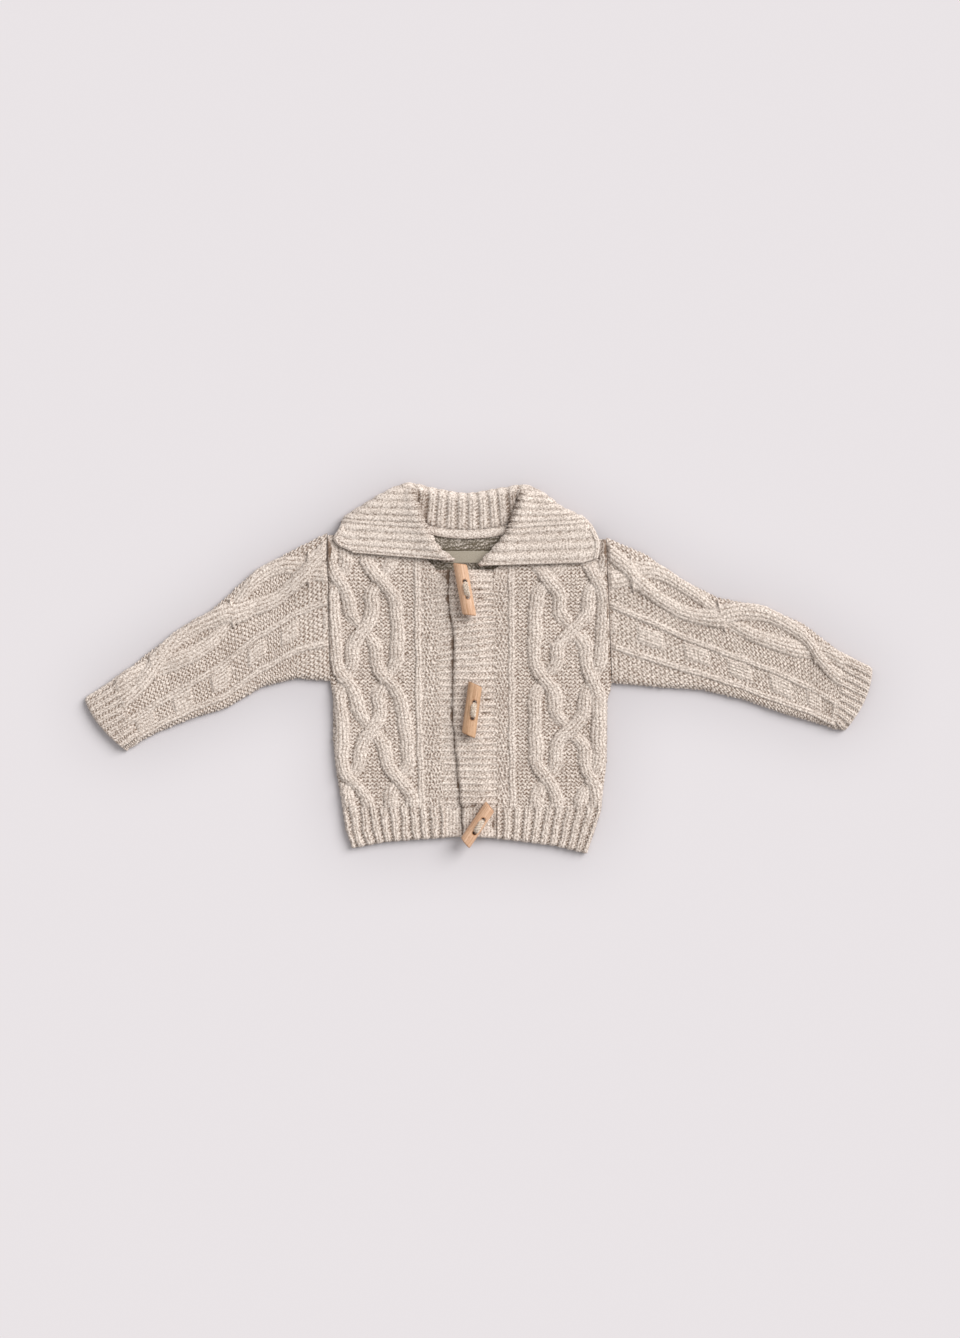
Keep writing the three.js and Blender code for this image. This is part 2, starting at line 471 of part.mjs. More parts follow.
// A flattened sleeve: rope, knit columns and blocks above, plain where it rests.
function buildSleeve(stations, firstCrossing) {
  const at = (column, v) => read(stations, 'along', column, v);
  const height = WALL * 2 + SLEEVE_INSIDE;
  const bow = (v, c) => 4 * c * (1 - c) * CUFF_BOW * smooth(v, 0.8, 1);
  const outward = Math.sign(stations.at(-1).ux);
  const base = (y, v) => lift(y) * (1 - smooth(v, 0, 0.3));
  const plan = (c, v) => ({
    x: lerp(at('ux', v), at('lx', v), c) + outward * bow(v, c),
    y: lerp(at('uy', v), at('ly', v), c),
    width: Math.hypot(at('ux', v) - at('lx', v), at('uy', v) - at('ly', v)),
  });
  const relief = (c, v, width) => {
    const swing = Math.sin((v - firstCrossing) / CROSSING_PITCH * Math.PI);
    const spread = ROPE_SPREAD * width * Math.sign(swing) * Math.abs(swing) ** 0.7;
    const centre = read(SLEEVE_COLUMNS, 'along', 'rope', v) * width;
    const across = c * width;
    const strands = Math.max(
      ridge(across - centre - spread, ROPE_WIDTH),
      ridge(across - centre + spread, ROPE_WIDTH),
    ) * ROPE_HEIGHT;
    const columns = Math.max(
      ridge(across - read(SLEEVE_COLUMNS, 'along', 'knit', v) * width, COLUMN_WIDTH * 1.3),
      ridge(across - read(SLEEVE_COLUMNS, 'along', 'low', v) * width, COLUMN_WIDTH * 1.3),
      ridge(across - read(SLEEVE_COLUMNS, 'along', 'blocks', v) * width, BLOCK_WIDTH)
        * smooth(rib(v - FIRST_BLOCK, BLOCK_PITCH), 0.25, 0.75),
    ) * COLUMN_HEIGHT;
    const cuff = rib(across, CUFF_RIB_PITCH) * RIB_HEIGHT * 0.8;
    const cuffStart = 1 - CUFF_LENGTH / SLEEVE_LENGTH;
    const inCuff = smooth(v, cuffStart - 0.02, cuffStart + 0.02);
    return lerp(Math.max(strands, columns), cuff, inCuff);
  };
  const topCells = 17;
  const topShares = shares(topCells, 0.03).map((c) => c * TOP_SHARE);
  const underShares = [0.7, 0.8, 0.9];
  const section = (u, v) => {
    const onTop = u <= TOP_SHARE;
    const c = onTop ? u / TOP_SHARE : 1 - (u - TOP_SHARE) / (1 - TOP_SHARE);
    const { x, y, width } = plan(c, v);
    const keep = onTop ? rounding(Math.min(c, 1 - c) * width) : 1;
    const ends = smooth(v, 0, 0.02) * (1 - smooth(v, 0.985, 1));
    const top = height + relief(c, v, width) * ends;
    const z = onTop ? lerp(1.2, top, (keep - EDGE_KEEP) / (1 - EDGE_KEEP)) : 0;
    return new THREE.Vector3(x, y, base(y, v) + z);
  };
  const rows = Array.from({ length: 33 }, (_, i) => i / 32);
  const outer = grid([...topShares, ...underShares], rows, section);
  const inset = WALL + 0.4;
  const hollow = (u, v) => {
    const onTop = u <= 0.5;
    const { width } = plan(0.5, v);
    const edge = inset / width;
    const c = onTop ? lerp(edge, 1 - edge, u * 2) : lerp(1 - edge, edge, u * 2 - 1);
    const { x, y } = plan(c, v);
    const inside = u === 0 || u === 0.5 ? SLEEVE_INSIDE / 2 : SLEEVE_INSIDE * (onTop ? 1 : 0);
    return new THREE.Vector3(x, y, base(y, v) + WALL + inside);
  };
  const innerRows = rows.filter((_, i) => i % 4 === 0);
  const inner = grid([0, 0.15, 0.35, 0.5, 0.65, 0.85], innerRows, hollow);
  return tube(outer, inner);
}

// Control points along one rib line of the collar, from its seam over the roll to its edge.
function ribLine(row) {
  const at = (p, z) => new THREE.Vector3(p[0], p[1], z);
  const between = (p, q, share) => [lerp(p[0], q[0], share), lerp(p[1], q[1], share)];
  const span = Math.hypot(row.fold[0] - row.roll[0], row.fold[1] - row.roll[1]);
  const wraps = row.edgeZ < row.lobeZ - 3;
  const crestShare = Math.min(CREST_OUT / span, 0.6);
  return [
    at(row.seam, row.seamZ),
    at(between(row.seam, row.roll, 0.55), lerp(row.seamZ, row.rollZ, 0.3)),
    at(row.roll, row.rollZ),
    at(between(row.roll, row.fold, crestShare), row.crestZ),
    at(between(row.roll, row.fold, lerp(crestShare, 1, 0.22)), lerp(row.lobeZ, row.crestZ, 0.25)),
    at(between(row.roll, row.fold, lerp(crestShare, 1, 0.55)), row.lobeZ),
    at(between(row.roll, row.fold, lerp(crestShare, 1, 0.88)), lerp(row.lobeZ, row.foldZ, wraps ? 0.2 : 0.8)),
    at(row.fold, row.foldZ),
    at(between(row.fold, row.edge, 0.16), lerp(row.foldZ, row.edgeZ, wraps ? 0.95 : 0.3)),
    at(between(row.fold, row.edge, 0.55), lerp(row.foldZ, row.edgeZ, wraps ? 1 : 0.6)),
    at(row.edge, row.edgeZ),
  ];
}

// Catmull-Rom value between b and c, for knots that are evenly numbered.
function catmull(a, b, c, d, t) {
  const out = (k) => 0.5 * (2 * b[k] + (c[k] - a[k]) * t
    + (2 * a[k] - 5 * b[k] + 4 * c[k] - d[k]) * t * t
    + (3 * b[k] - a[k] - 3 * c[k] + d[k]) * t ** 3);
  return new THREE.Vector3(out('x'), out('y'), out('z'));
}

function splineAt(list, place) {
  const last = list.length - 1;
  const i = THREE.MathUtils.clamp(Math.floor(place), 0, last - 1);
  const pick = (k) => list[THREE.MathUtils.clamp(k, 0, last)];
  return catmull(pick(i - 1), pick(i), pick(i + 1), pick(i + 2), place - i);
}

// The collar: one wall that rolls over and wraps the shoulders, ribbed on the side that shows.
function buildCollar() {
  const lines = COLLAR_ROWS.map(ribLine);
  const rowAt = (count) => {
    let i = 0;
    while (i < COLLAR_ROWS.length - 2 && COLLAR_ROWS[i + 1].rib < count) i += 1;
    return i + (count - COLLAR_ROWS[i].rib) / (COLLAR_ROWS[i + 1].rib - COLLAR_ROWS[i].rib);
  };
  const last = lines[0].length - 1;
  const middle = (u, v) => {
    const place = rowAt(u * COLLAR_RIBS);
    const point = splineAt(lines.map((line) => splineAt(line, v * last)), place);
    point.z = Math.max(point.z, WALL / 2);
    return point;
  };
  const normal = (u, v) => {
    const step = 1e-3;
    const [u0, u1] = [Math.max(u - step, 0), Math.min(u + step, 1)];
    const [v0, v1] = [Math.max(v - step, 0), Math.min(v + step, 1)];
    const along = middle(u1, v).sub(middle(u0, v));
    const across = middle(u, v1).sub(middle(u, v0));
    return along.cross(across).normalize();
  };
  const face = (side) => (u, v) => {
    const out = normal(u, v);
    const point = middle(u, v);
    const shows = smooth(out.z, -0.4, 0.2) * smooth(v, 0, 0.04) * (1 - smooth(v, 0.96, 1));
    const relief = side > 0 ? rib(u * COLLAR_RIBS, 1) * COLLAR_RIB_HEIGHT * shows : 0;
    point.addScaledVector(out, side * (WALL / 2) + relief);
    point.z = Math.max(point.z, 0);
    return point;
  };
  const folds = [0, 0.5, 1, 1.5, 2, 2.5, 3, 3.5, 4, 5, 6, 6.5, 7, 7.5, 8, 9, 10];
  const vs = folds.map((knot) => knot / last);
  const ribSteps = COLLAR_RIBS * 2;
  const us = Array.from({ length: ribSteps + 1 }, (_, i) => i / ribSteps);
  const atShoulder = (u) => Math.abs(Math.abs(u - 0.5) * COLLAR_RIBS - 9.5) < 3;
  const insideUs = us.filter((u, i) => i % 4 === 0 || (i % 2 === 0 && atShoulder(u)));
  return wall(grid(us, vs, face(1)), grid(insideUs, vs, face(-1)));
}

// A strip that lies on the back inside the neck.
function buildStrip(us, lowY, highY, left, right, thickness) {
  const base = (y) => lift(y) + LAYER;
  const at = (raise) => (u, v) => {
    const x = lerp(left, right, u);
    const y = lerp(lowY(x), highY(x), v);
    return new THREE.Vector3(x, y, base(y) + raise);
  };
  return wall(grid(us, [0, 1], at(thickness)), grid(us, [0, 1], at(0)));
}

function buildBinding() {
  const high = (x) => read(BACK_NECK, 'x', 'y', x) - BINDING.drop;
  const us = Array.from({ length: 9 }, (_, i) => i / 8);
  return buildStrip(us, (x) => high(x) - BINDING.width, high, BINDING.left, BINDING.right, BINDING.thickness);
}

function toManifold(geometry) {
  const bare = geometry.clone();
  bare.deleteAttribute('normal');
  bare.deleteAttribute('uv');
  const merged = mergeVertices(bare, 1e-4);
  return new wasm.Manifold(new wasm.Mesh({
    numProp: 3,
    vertProperties: merged.attributes.position.array,
    triVerts: new Uint32Array(merged.index.array),
  }));
}

function fromManifold(solid) {
  const { vertProperties, triVerts } = solid.getMesh();
  const geometry = new THREE.BufferGeometry();
  geometry.setAttribute('position', new THREE.BufferAttribute(new Float32Array(vertProperties), 3));
  geometry.setIndex([...triVerts]);
  geometry.computeVertexNormals();
  return geometry;
}

// Places a piece that was made along x onto a toggle's axis.
function toggleFrame(toggle) {
  const head = new THREE.Vector3(...toggle.head, toggle.headZ);
  const foot = new THREE.Vector3(...toggle.foot, toggle.footZ);
  const along = foot.clone().sub(head).normalize();
  const across = new THREE.Vector3(0, 0, 1).cross(along).normalize();
  const up = along.clone().cross(across);
  const matrix = new THREE.Matrix4().makeBasis(along, across, up);
  const length = head.distanceTo(foot);
  return { matrix: matrix.setPosition(head.add(foot).multiplyScalar(0.5)), length };
}

// A toggle: an oval rod with slanted ends and two holes for its yarn.
function buildToggle(toggle) {
  const sides = 16;
  const slant = 0.22; // how far an end leans along the rod for each millimetre across it
  const { matrix, length } = toggleFrame(toggle);
  const solid = new Solid();
  const stations = [-0.5, -0.485, -0.2, 0.2, 0.485, 0.5];
  const rings = stations.map((share) => solid.add(Array.from({ length: sides }, (_, i) => {
    const angle = (2 * Math.PI * i) / sides;
    const size = Math.abs(share) === 0.5 ? 0.9 : 1;
    const y = Math.cos(angle) * (toggle.width / 2) * size;
    const z = Math.sin(angle) * (TOGGLE_THICKNESS / 2) * size;
    return new THREE.Vector3(share * length + slant * y, y, z);
  })));
  solid.sheet(rings.map((ring) => [...ring, ring[0]]), true);
  for (let i = 1; i + 1 < sides; i += 1) {
    solid.faces.push([rings[0][0], rings[0][i], rings[0][i + 1]]);
    solid.faces.push([rings.at(-1)[0], rings.at(-1)[i + 1], rings.at(-1)[i]]);
  }
  let rod = toManifold(solid.geometry());
  for (const side of [-1, 1]) {
    const hole = new THREE.CylinderGeometry(TOGGLE_HOLE / 2, TOGGLE_HOLE / 2, TOGGLE_THICKNESS * 2, 12);
    hole.rotateX(Math.PI / 2);
    hole.translate((side * HOLES_APART) / 2, toggle.yarnSide, 0);
    rod = rod.subtract(toManifold(hole));
  }
  return fromManifold(rod).applyMatrix4(matrix);
}

// The yarn through a toggle: up through one hole, across the top and down the other.
function buildYarn(toggle) {
  const { matrix } = toggleFrame(toggle);
  const reach = HOLES_APART / 2;
  const low = -TOGGLE_THICKNESS / 2;
  const high = TOGGLE_THICKNESS / 2 + YARN_ROUND / 2 + GAP * 2;
  const bend = YARN_ROUND * 0.7;
  const path = new THREE.CatmullRomCurve3([
    new THREE.Vector3(-reach, 0, low), new THREE.Vector3(-reach, 0, high - bend),
    new THREE.Vector3(-reach + bend, 0, high), new THREE.Vector3(reach - bend, 0, high),
    new THREE.Vector3(reach, 0, high - bend), new THREE.Vector3(reach, 0, low),
  ], false, 'centripetal');
  const round = new THREE.Shape();
  round.absarc(0, 0, YARN_ROUND / 2, 0, Math.PI * 2);
  const geometry = new THREE.ExtrudeGeometry(round, {
    steps: 12, curveSegments: 4, bevelEnabled: false, extrudePath: path,
  });
  geometry.deleteAttribute('uv');
  geometry.deleteAttribute('normal');
  return mergeVertices(geometry, 1e-4).translate(0, toggle.yarnSide, 0).applyMatrix4(matrix);
}

const cardigan = new THREE.Group();

function addPiece(name, geometry, material) {
  const mesh = new THREE.Mesh(geometry, material);
  mesh.name = name;
  cardigan.add(mesh);
}

addPiece('back', buildBack(), yarn('back knit'));
addPiece('front_left', buildFront({
  outer: SIDE_LEFT, inner: INNER_LEFT, shoulder: SHOULDER_LEFT, lanes: LANES_LEFT, column: COLUMN_LEFT,
}), yarn('front knit'));
addPiece('front_right', buildFront({
  outer: SIDE_RIGHT, inner: INNER_RIGHT, shoulder: SHOULDER_RIGHT, lanes: LANES_RIGHT, column: COLUMN_RIGHT,
}), yarn('front knit'));
addPiece('band_left', buildBand(seamLeft, underlapEdge, (x, y) => lift(y) + LAYER), yarn('band rib'));
addPiece('band_right', buildBand(bandEdge, seamRight, rightBandBase), yarn('band rib'));
addPiece('sleeve_left', buildSleeve(SLEEVE_LEFT, FIRST_CROSSING.left), yarn('sleeve knit'));
addPiece('sleeve_right', buildSleeve(SLEEVE_RIGHT, FIRST_CROSSING.right), yarn('sleeve knit'));
addPiece('collar', buildCollar(), yarn('collar rib'));
addPiece('neck_binding', buildBinding(), yarn('binding'));
addPiece('neck_label', buildStrip([0, 0.5, 1], () => LABEL.bottom, () => LABEL.top,
  LABEL.left, LABEL.right, LABEL.thickness), TAPE);
TOGGLES.forEach((toggle, index) => {
  addPiece(`toggle_${index + 1}`, buildToggle(toggle), WOOD);
  addPiece(`toggle_yarn_${index + 1}`, buildYarn(toggle), yarn('tie'));
});

// The origin is under the middle of the whole garment, on the table.
const box = new THREE.Box3().setFromObject(cardigan, true);
const middle = box.getCenter(new THREE.Vector3());
cardigan.position.set(-middle.x, -middle.y, -box.min.z);

export default cardigan;
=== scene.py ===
"""A baby's cable-knit cardigan laid flat: its knitting, sewing and toggles in full detail.

Shapes are worked out in garment millimetres: x across the chest, y up towards the collar, z up
from the table. to_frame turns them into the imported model's metres.
"""

import json
import logging
import math
from dataclasses import dataclass
from enum import Enum
from typing import Callable, Sequence

import bpy
import numpy as np
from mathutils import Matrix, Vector

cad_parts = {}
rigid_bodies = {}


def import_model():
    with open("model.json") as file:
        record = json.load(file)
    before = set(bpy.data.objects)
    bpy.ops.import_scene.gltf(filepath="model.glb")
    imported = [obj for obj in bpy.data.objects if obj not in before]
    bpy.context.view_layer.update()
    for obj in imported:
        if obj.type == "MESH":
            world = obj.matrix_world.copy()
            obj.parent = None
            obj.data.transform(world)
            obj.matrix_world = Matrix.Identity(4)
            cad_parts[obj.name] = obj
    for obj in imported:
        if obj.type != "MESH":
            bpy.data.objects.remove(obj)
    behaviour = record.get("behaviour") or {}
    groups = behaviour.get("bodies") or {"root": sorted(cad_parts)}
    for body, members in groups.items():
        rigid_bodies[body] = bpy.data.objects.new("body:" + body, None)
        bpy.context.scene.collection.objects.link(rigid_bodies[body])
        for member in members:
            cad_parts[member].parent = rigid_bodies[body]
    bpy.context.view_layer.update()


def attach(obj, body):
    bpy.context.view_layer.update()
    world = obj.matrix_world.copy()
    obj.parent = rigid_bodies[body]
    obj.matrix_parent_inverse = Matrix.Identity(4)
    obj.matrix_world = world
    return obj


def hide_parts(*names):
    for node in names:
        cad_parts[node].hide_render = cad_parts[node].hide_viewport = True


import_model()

Array = np.ndarray
Input = bpy.types.NodeSocket | float  # of a Math node
Line = Sequence[tuple[float, float]]

log = logging.getLogger("cardigan")

MM = 0.001
GARMENT_TO_FRAME = (1.250, -1.362, 0.0)  # mm, so that the origin is under the box's middle

# Cloth
WALL = 3.0
LAYER = 3.3  # one layer of cloth and the air above it
WALE = 3.3  # width of a knit stitch
COURSE = 3.6  # height of a knit stitch
PURL_WALE = 4.2  # width of a purl stitch in the open ground
ROPE_WIDTH = 14.4  # of a cable strand on the fronts
ROPE_HEIGHT = 3.1
COLUMN_HEIGHT = 1.5
RIB_PITCH = 9.8  # of the hem, on a front 99 mm wide
RIB_HEIGHT = 2.0
FIRST_CABLE_ROW = 133.5
CABLE_ROW_PITCH = 47.5
CABLE_ROWS = 6
STITCH = 0.85  # height of a knit stitch's strands
PURL_DEPTH = 1.45  # purl rows stand this many times as high
HEM_TOP = -130.0
ABSENT = -9  # height of knitting that is not there

# Plan outlines, as (y, x) or (x, y) pairs
SIDE_LEFT = ((-170, -121), (-152, -128), (-129, -131), (-99, -136), (-70, -139.5), (-28, -139.7),
             (-10.5, -142.5), (128, -145))
SIDE_RIGHT = ((-174, 102), (-152, 109.5), (-133, 115.5), (-114, 117), (-85, 120.7), (-30, 121),
              (-12, 125.4), (124, 119.7))
HEM = ((-122, -169), (-90, -163.4), (-49, -160.5), (-10, -158.7), (26, -161.5), (72, -167.2),
       (103, -174))
SHOULDER_LEFT = ((-145, 128), (-127, 127.5), (-76, 147))
SHOULDER_RIGHT = ((51.5, 147), (103, 124.5), (119.7, 124))
BACK_NECK = ((-76, 147), (-62, 140), (-47.5, 134.4), (-30, 131.4), (-12, 130.4), (6, 131.4),
             (23, 134.4), (37.5, 140), (51.5, 147))
INNER_LEFT = ((-160, -33.5), (-132, -34.5), (97, -42.5), (108, -53), (123, -67), (147, -76))
INNER_RIGHT = ((-162, 16.2), (-132, 16.2), (95, 12.6), (106, 28), (123, 42), (147, 51.5))
BAND_EDGE = ((-160, -16), (-130, -17.6), (-116, -19), (-69, -23.8), (-42, -25.7), (32, -24.7),
             (67, -29.5), (96, -28.5))
COLLAR_LOWER_EDGE = ((-147, 131), (-140, 121), (-128, 113), (-96, 104.5), (-46, 98.8),
                     (-22, 102), (9, 94.5), (41, 94), (85, 98.8), (110, 104), (117, 124))
LIFT = ((50, 0), (59, 0.35), (76, 2.95), (85, 3.3))  # height by y, over the folded collar
# Dents beside the toggles and at the hem on the right band: (x, y, reach across, reach up)
BAND_DENTS = ((-1, 76, 5, 0.9), (-0.5, 68, 4, 0.9), (6, -28, 5, 0.9), (4, -41, 4, 0.9),
              (12, -146, 1.2, 6.0))

# Lanes of the four cable strands between crossings, from the band outwards, as (y, x)
LANES_LEFT = (
    ((-130, -64), (-104, -66), (-57, -70), (-9, -79), (38, -78), (86, -83)),
    ((-130, -84), (-104, -88), (-57, -91), (-9, -99.5), (38, -98), (86, -107)),
    ((-130, -105), (-104, -115), (-57, -112.5), (-9, -120), (38, -122), (86, -127)),
    ((-130, -124), (-104, -133), (-57, -130), (-9, -136), (38, -138), (86, -142)),
)
LANES_RIGHT = (
    ((-130, 54), (-104, 54), (-57, 52.5), (-9, 51.5), (38, 52.5), (86, 54)),
    ((-130, 73), (-104, 73.5), (-57, 71.5), (-9, 72), (38, 75), (86, 77)),
    ((-130, 95), (-104, 100), (-57, 99.5), (-9, 100), (38, 102.5), (86, 103)),
    ((-130, 111), (-104, 112.5), (-57, 113), (-9, 113), (38, 117), (86, 119)),
)
COLUMN_LEFT = ((-130, -55), (-40, -58), (97, -59.5))
COLUMN_RIGHT = ((-130, 31), (97, 29.5))

# Sleeves: (along, upper x, upper y, lower x, lower y) from the armhole to the cuff's end
SLEEVE_LEFT = (
    (0, -145.3, 130.5, -142.8, -10.5), (0.11, -178, 114, -175, -8), (0.3, -216, 93, -207, -16),
    (0.47, -255, 57, -241, -36), (0.63, -292, 34, -275, -46.5), (0.77, -324, 9.5, -304, -58),
    (0.89, -351, -12, -328, -70), (1, -376, -28, -338, -76),
)
SLEEVE_RIGHT = (
    (0, 120, 126, 125.7, -12.5), (0.13, 157.5, 110, 166, -16), (0.28, 191, 86.5, 212, -19),
    (0.42, 226, 69, 252, -28.5), (0.58, 271, 60, 290, -42), (0.71, 307, 44.5, 316, -49.5),
    (0.86, 343, 17, 334.5, -55), (1, 373.5, 1, 348, -57),
)
# (along, rope, knit column, blocks, lower column), as shares of the width from the upper edge
SLEEVE_COLUMNS = (
    (0, 0.19, 0.46, 0.59, 0.74), (0.26, 0.19, 0.55, 0.67, 0.84), (0.47, 0.19, 0.58, 0.71, 0.88),
    (0.67, 0.2, 0.64, 0.76, 0.9), (0.88, 0.22, 0.66, 0.79, 0.92),
)

# Collar rows: rib, then seam, roll, fold and edge in plan, then the heights of seam, roll,
# crest, lobe, fold and edge
COLLAR_ROWS = (
    (0, -33, 102, -24.5, 103.2, -118, 111, -134, 117.5, 10.6, 13.1, 15.4, 13.9, 13.5, 13.2),
    (1.5, -52, 111.5, -39, 114, -126, 119.5, -139.5, 124.5, 8.8, 12.6, 16, 13.2, 12.9, 12.6),
    (2.8, -64.5, 126, -47.4, 126.4, -126, 130.5, -134.5, 133.5, 8.5, 12.6, 16, 12.7, 12.4, 11.6),
    (3.8, -67, 132, -50.8, 133.6, -127, 139, -131.5, 139, 8.4, 12.5, 15.8, 12.6, 10, 5),
    (5, -69.5, 139, -55, 142, -127, 144.6, -131, 131, 8.2, 12.4, 15.6, 12.5, 6.6, 1.5),
    (6.8, -72.4, 149, -60, 155.8, -107.5, 157, -121, 118, 7.5, 12, 14.8, 11.8, 5.4, 1.5),
    (8.2, -71.5, 152, -63, 167, -89.5, 167.5, -110, 112, 6.3, 10.6, 12, 9.4, 4.5, 1.5),
    (9.3, -65.5, 145.5, -61, 168, -68.5, 175, -92, 97, 5.2, 8.4, 8, 6, 3.4, 1.5),
    (11, -47.5, 137, -45, 163, -44.5, 170.2, -54, 90, 4.9, 7.4, 7, 5.2, 3, 1.5),
    (14, -12.4, 133, -12.4, 158.2, -12.4, 165.4, -12.4, 86.5, 4.9, 7.4, 7, 5.2, 3, 1.5),
    (17, 23, 137, 20.5, 163, 20, 170.2, 29, 90, 4.9, 7.4, 7, 5.2, 3, 1.5),
    (18.7, 41, 145.5, 37.5, 167, 44, 173, 67, 97, 5.2, 8.4, 8, 6, 3.4, 1.5),
    (19.8, 47, 152, 39.3, 166, 64, 163.5, 82, 112, 6.3, 10.6, 12, 9.4, 4.5, 1.5),
    (21.2, 48, 149, 36.5, 155.8, 76, 154, 90, 118, 7.5, 12, 14.8, 11.8, 5.4, 1.5),
    (23, 45.5, 139, 31.5, 142, 97, 144, 102, 130, 8.2, 12.4, 15.6, 12.5, 6.6, 1.5),
    (24.2, 42, 132, 28, 133.6, 100.5, 138.5, 105, 138.5, 8.4, 12.5, 15.8, 12.6, 10, 5),
    (25.2, 39.5, 126, 24.4, 126.4, 101.5, 130, 109.5, 132, 8.5, 12.6, 16, 12.7, 12.4, 11.6),
    (26.5, 26.5, 111.5, 13.5, 113.5, 101, 117, 114, 120, 8.8, 12.6, 16, 13.2, 12.9, 12.6),
    (28, 8, 99.4, -0.5, 98.8, 97, 101.5, 112, 106, 10.9, 13.3, 15.8, 14.1, 13.7, 13.3),
)
COLLAR_RIBS = 28  # of the solid; the rows above count along them
SHOWN_RIBS = 33  # of the dressed collar


def smooth(x: Array, low: float, high: float) -> Array:
    """Rises from 0 at low to 1 at high as three t squared less two t cubed."""
    t = np.clip((x - low) / (high - low), 0, 1)
    return t * t * (3 - 2 * t)


def mix(a: Array, b: Array, t: Array) -> Array:
    """Goes from a to b in proportion to t."""
    return a + (b - a) * t


def read(line: Line, value: Array) -> Array:
    """Reads a line of pairs at any first value, along straight lines between them."""
    table = np.asarray(line, dtype=float)
    return np.interp(value, table[:, 0], table[:, 1])


def ridge(distance: Array, width: Array) -> Array:
    """Arch of height 1 across width: one less the square of the share, to the power 0.7."""
    return np.clip(1 - (2 * distance / width) ** 2, 0, 1) ** 0.7


def rib(distance: Array, pitch: float) -> Array:
    """Rib from 0 in its groove to 1 on its crest: half of one plus the cosine."""
    return 0.5 + 0.5 * np.cos(2 * np.pi * distance / pitch)


def bell(distance: Array, reach: float) -> Array:
    """Bell of height 1: e to the power of less the square of distance over reach."""
    return np.exp(-((distance / reach) ** 2))


def unevenness(x: Array, y: Array, size: float, seed: int) -> Array:
    """Soft waves from -1 to 1: the mean of seven sines in directions set by the seed.

    Args:
        x: places along the first way, in mm.
        y: places along the second way, in mm.
        size: about the length of a wave, in mm.
        seed: which pattern it is.

    Returns:
        The wave's height at each place.
    """
    draw = np.random.default_rng(seed)
    waves = 7
    turn = draw.uniform(0, 2 * np.pi, waves)
    start = draw.uniform(0, 2 * np.pi, waves)
    length = size * draw.uniform(0.7, 1.5, waves)
    total = np.zeros(np.broadcast(x, y).shape)
    for angle, phase, wave in zip(turn, start, length):
        total += np.sin(2 * np.pi * (x * math.cos(angle) + y * math.sin(angle)) / wave + phase)
    return total / (waves * 0.6)


def strayed(x: Array, y: Array, seed: int) -> tuple[Array, Array]:
    """Shifts a pattern's places by soft waves, because hand knitting never lies quite straight."""
    ways = []
    for place, turn in ((x, 0), (y, 1)):
        wide = 0.8 * unevenness(x, y, 26, seed + turn)
        ways.append(place + wide + 0.5 * unevenness(x, y, 6, seed + turn + 50))
    return ways[0], ways[1]


def edge_keep(distance: Array, width: float, keep: float) -> Array:
    """Share of the thickness near an edge: a quarter round from keep at the edge to 1."""
    share = np.clip(distance / width, 0, 1)
    return keep + (1 - keep) * np.sqrt(1 - (1 - share) ** 2)


def lift(y: Array) -> Array:
    """How far the folded collar lifts the cloth above it."""
    return read(LIFT, y)


def blurred(field: Array, cells: int) -> Array:
    """Mean of a field over a square of cells each way, by running sums along both axes."""
    for axis in (0, 1):
        pad = [(0, 0), (0, 0)]
        pad[axis] = (cells + 1, cells)
        total = np.cumsum(np.pad(field, pad, mode="edge"), axis=axis)
        span = 2 * cells + 1
        ahead = np.take(total, np.arange(span, total.shape[axis]), axis=axis)
        behind = np.take(total, np.arange(0, total.shape[axis] - span), axis=axis)
        field = (ahead - behind) / span
    return field


def to_frame(points: Array) -> Array:
    """Turns garment millimetres into the frame's metres: the shift, then the scale."""
    return (points + np.array(GARMENT_TO_FRAME)) * MM


@dataclass
class Knit:
    """What the knitting is at each point of a grid.

    height is in mm above the plain ground, wale and course count stitches across and along,
    and purl is 0 where the smooth side of a stitch shows and 1 where its reverse does.
    """

    height: Array
    wale: Array
    course: Array
    purl: Array

    def topped(self, other: "Knit") -> "Knit":
        """Takes whichever of the two stands higher at each point."""
        return self.swapped(other, other.height > self.height)

    def swapped(self, other: "Knit", where: Array) -> "Knit":
        """Takes the other knitting wherever the mask says so."""
        return Knit(
            np.where(where, other.height, self.height), np.where(where, other.wale, self.wale),
            np.where(where, other.course, self.course), np.where(where, other.purl, self.purl),
        )

    def stitches(self) -> Array:
        """Height of the stitches alone, from 0 to about 2 where purl, and about 1 elsewhere.

        A knit stitch is a cosine arch across its wale with a shallow groove down its middle,
        times slanting waves that rise outwards. Purl stitches are a weighted mean of wavy rows
        and wavy columns, both cosines that the other one bends, so that their gaps zigzag. Some
        of both kinds stand higher than others.
        """
        across = self.wale - np.floor(self.wale) - 0.5
        arch = (0.25 + 0.75 * np.cos(np.pi * across) ** 0.8) * (1 - 0.2 * bell(across, 0.09))
        slant = 0.5 + 0.5 * np.cos(2 * np.pi * (self.course - np.abs(across)))
        knit = arch * (0.5 + 0.5 * slant)
        knit *= 1 + 0.25 * unevenness(self.wale, self.course, 1.3, 97)
        rows = np.cos(2 * np.pi * (self.course + 0.3 * np.cos(2 * np.pi * self.wale)))
        columns = np.cos(2 * np.pi * (self.wale + 0.3 * np.sin(2 * np.pi * self.course)))
        purl = np.clip(0.5 + 0.32 * rows + 0.18 * columns, 0, 1)
        purl *= 1 + 0.35 * unevenness(self.wale, self.course, 1.5, 96)
        return mix(knit, purl * PURL_DEPTH, np.clip(self.purl, 0, 1))


def roughness(x: Array, y: Array) -> Array:
    """Uneven yarn: bumps of up to 0.4 mm, 2 to 4 mm long."""
    return 0.2 * unevenness(x, y, 2.1, 90) + 0.22 * unevenness(x, y, 4.2, 91)


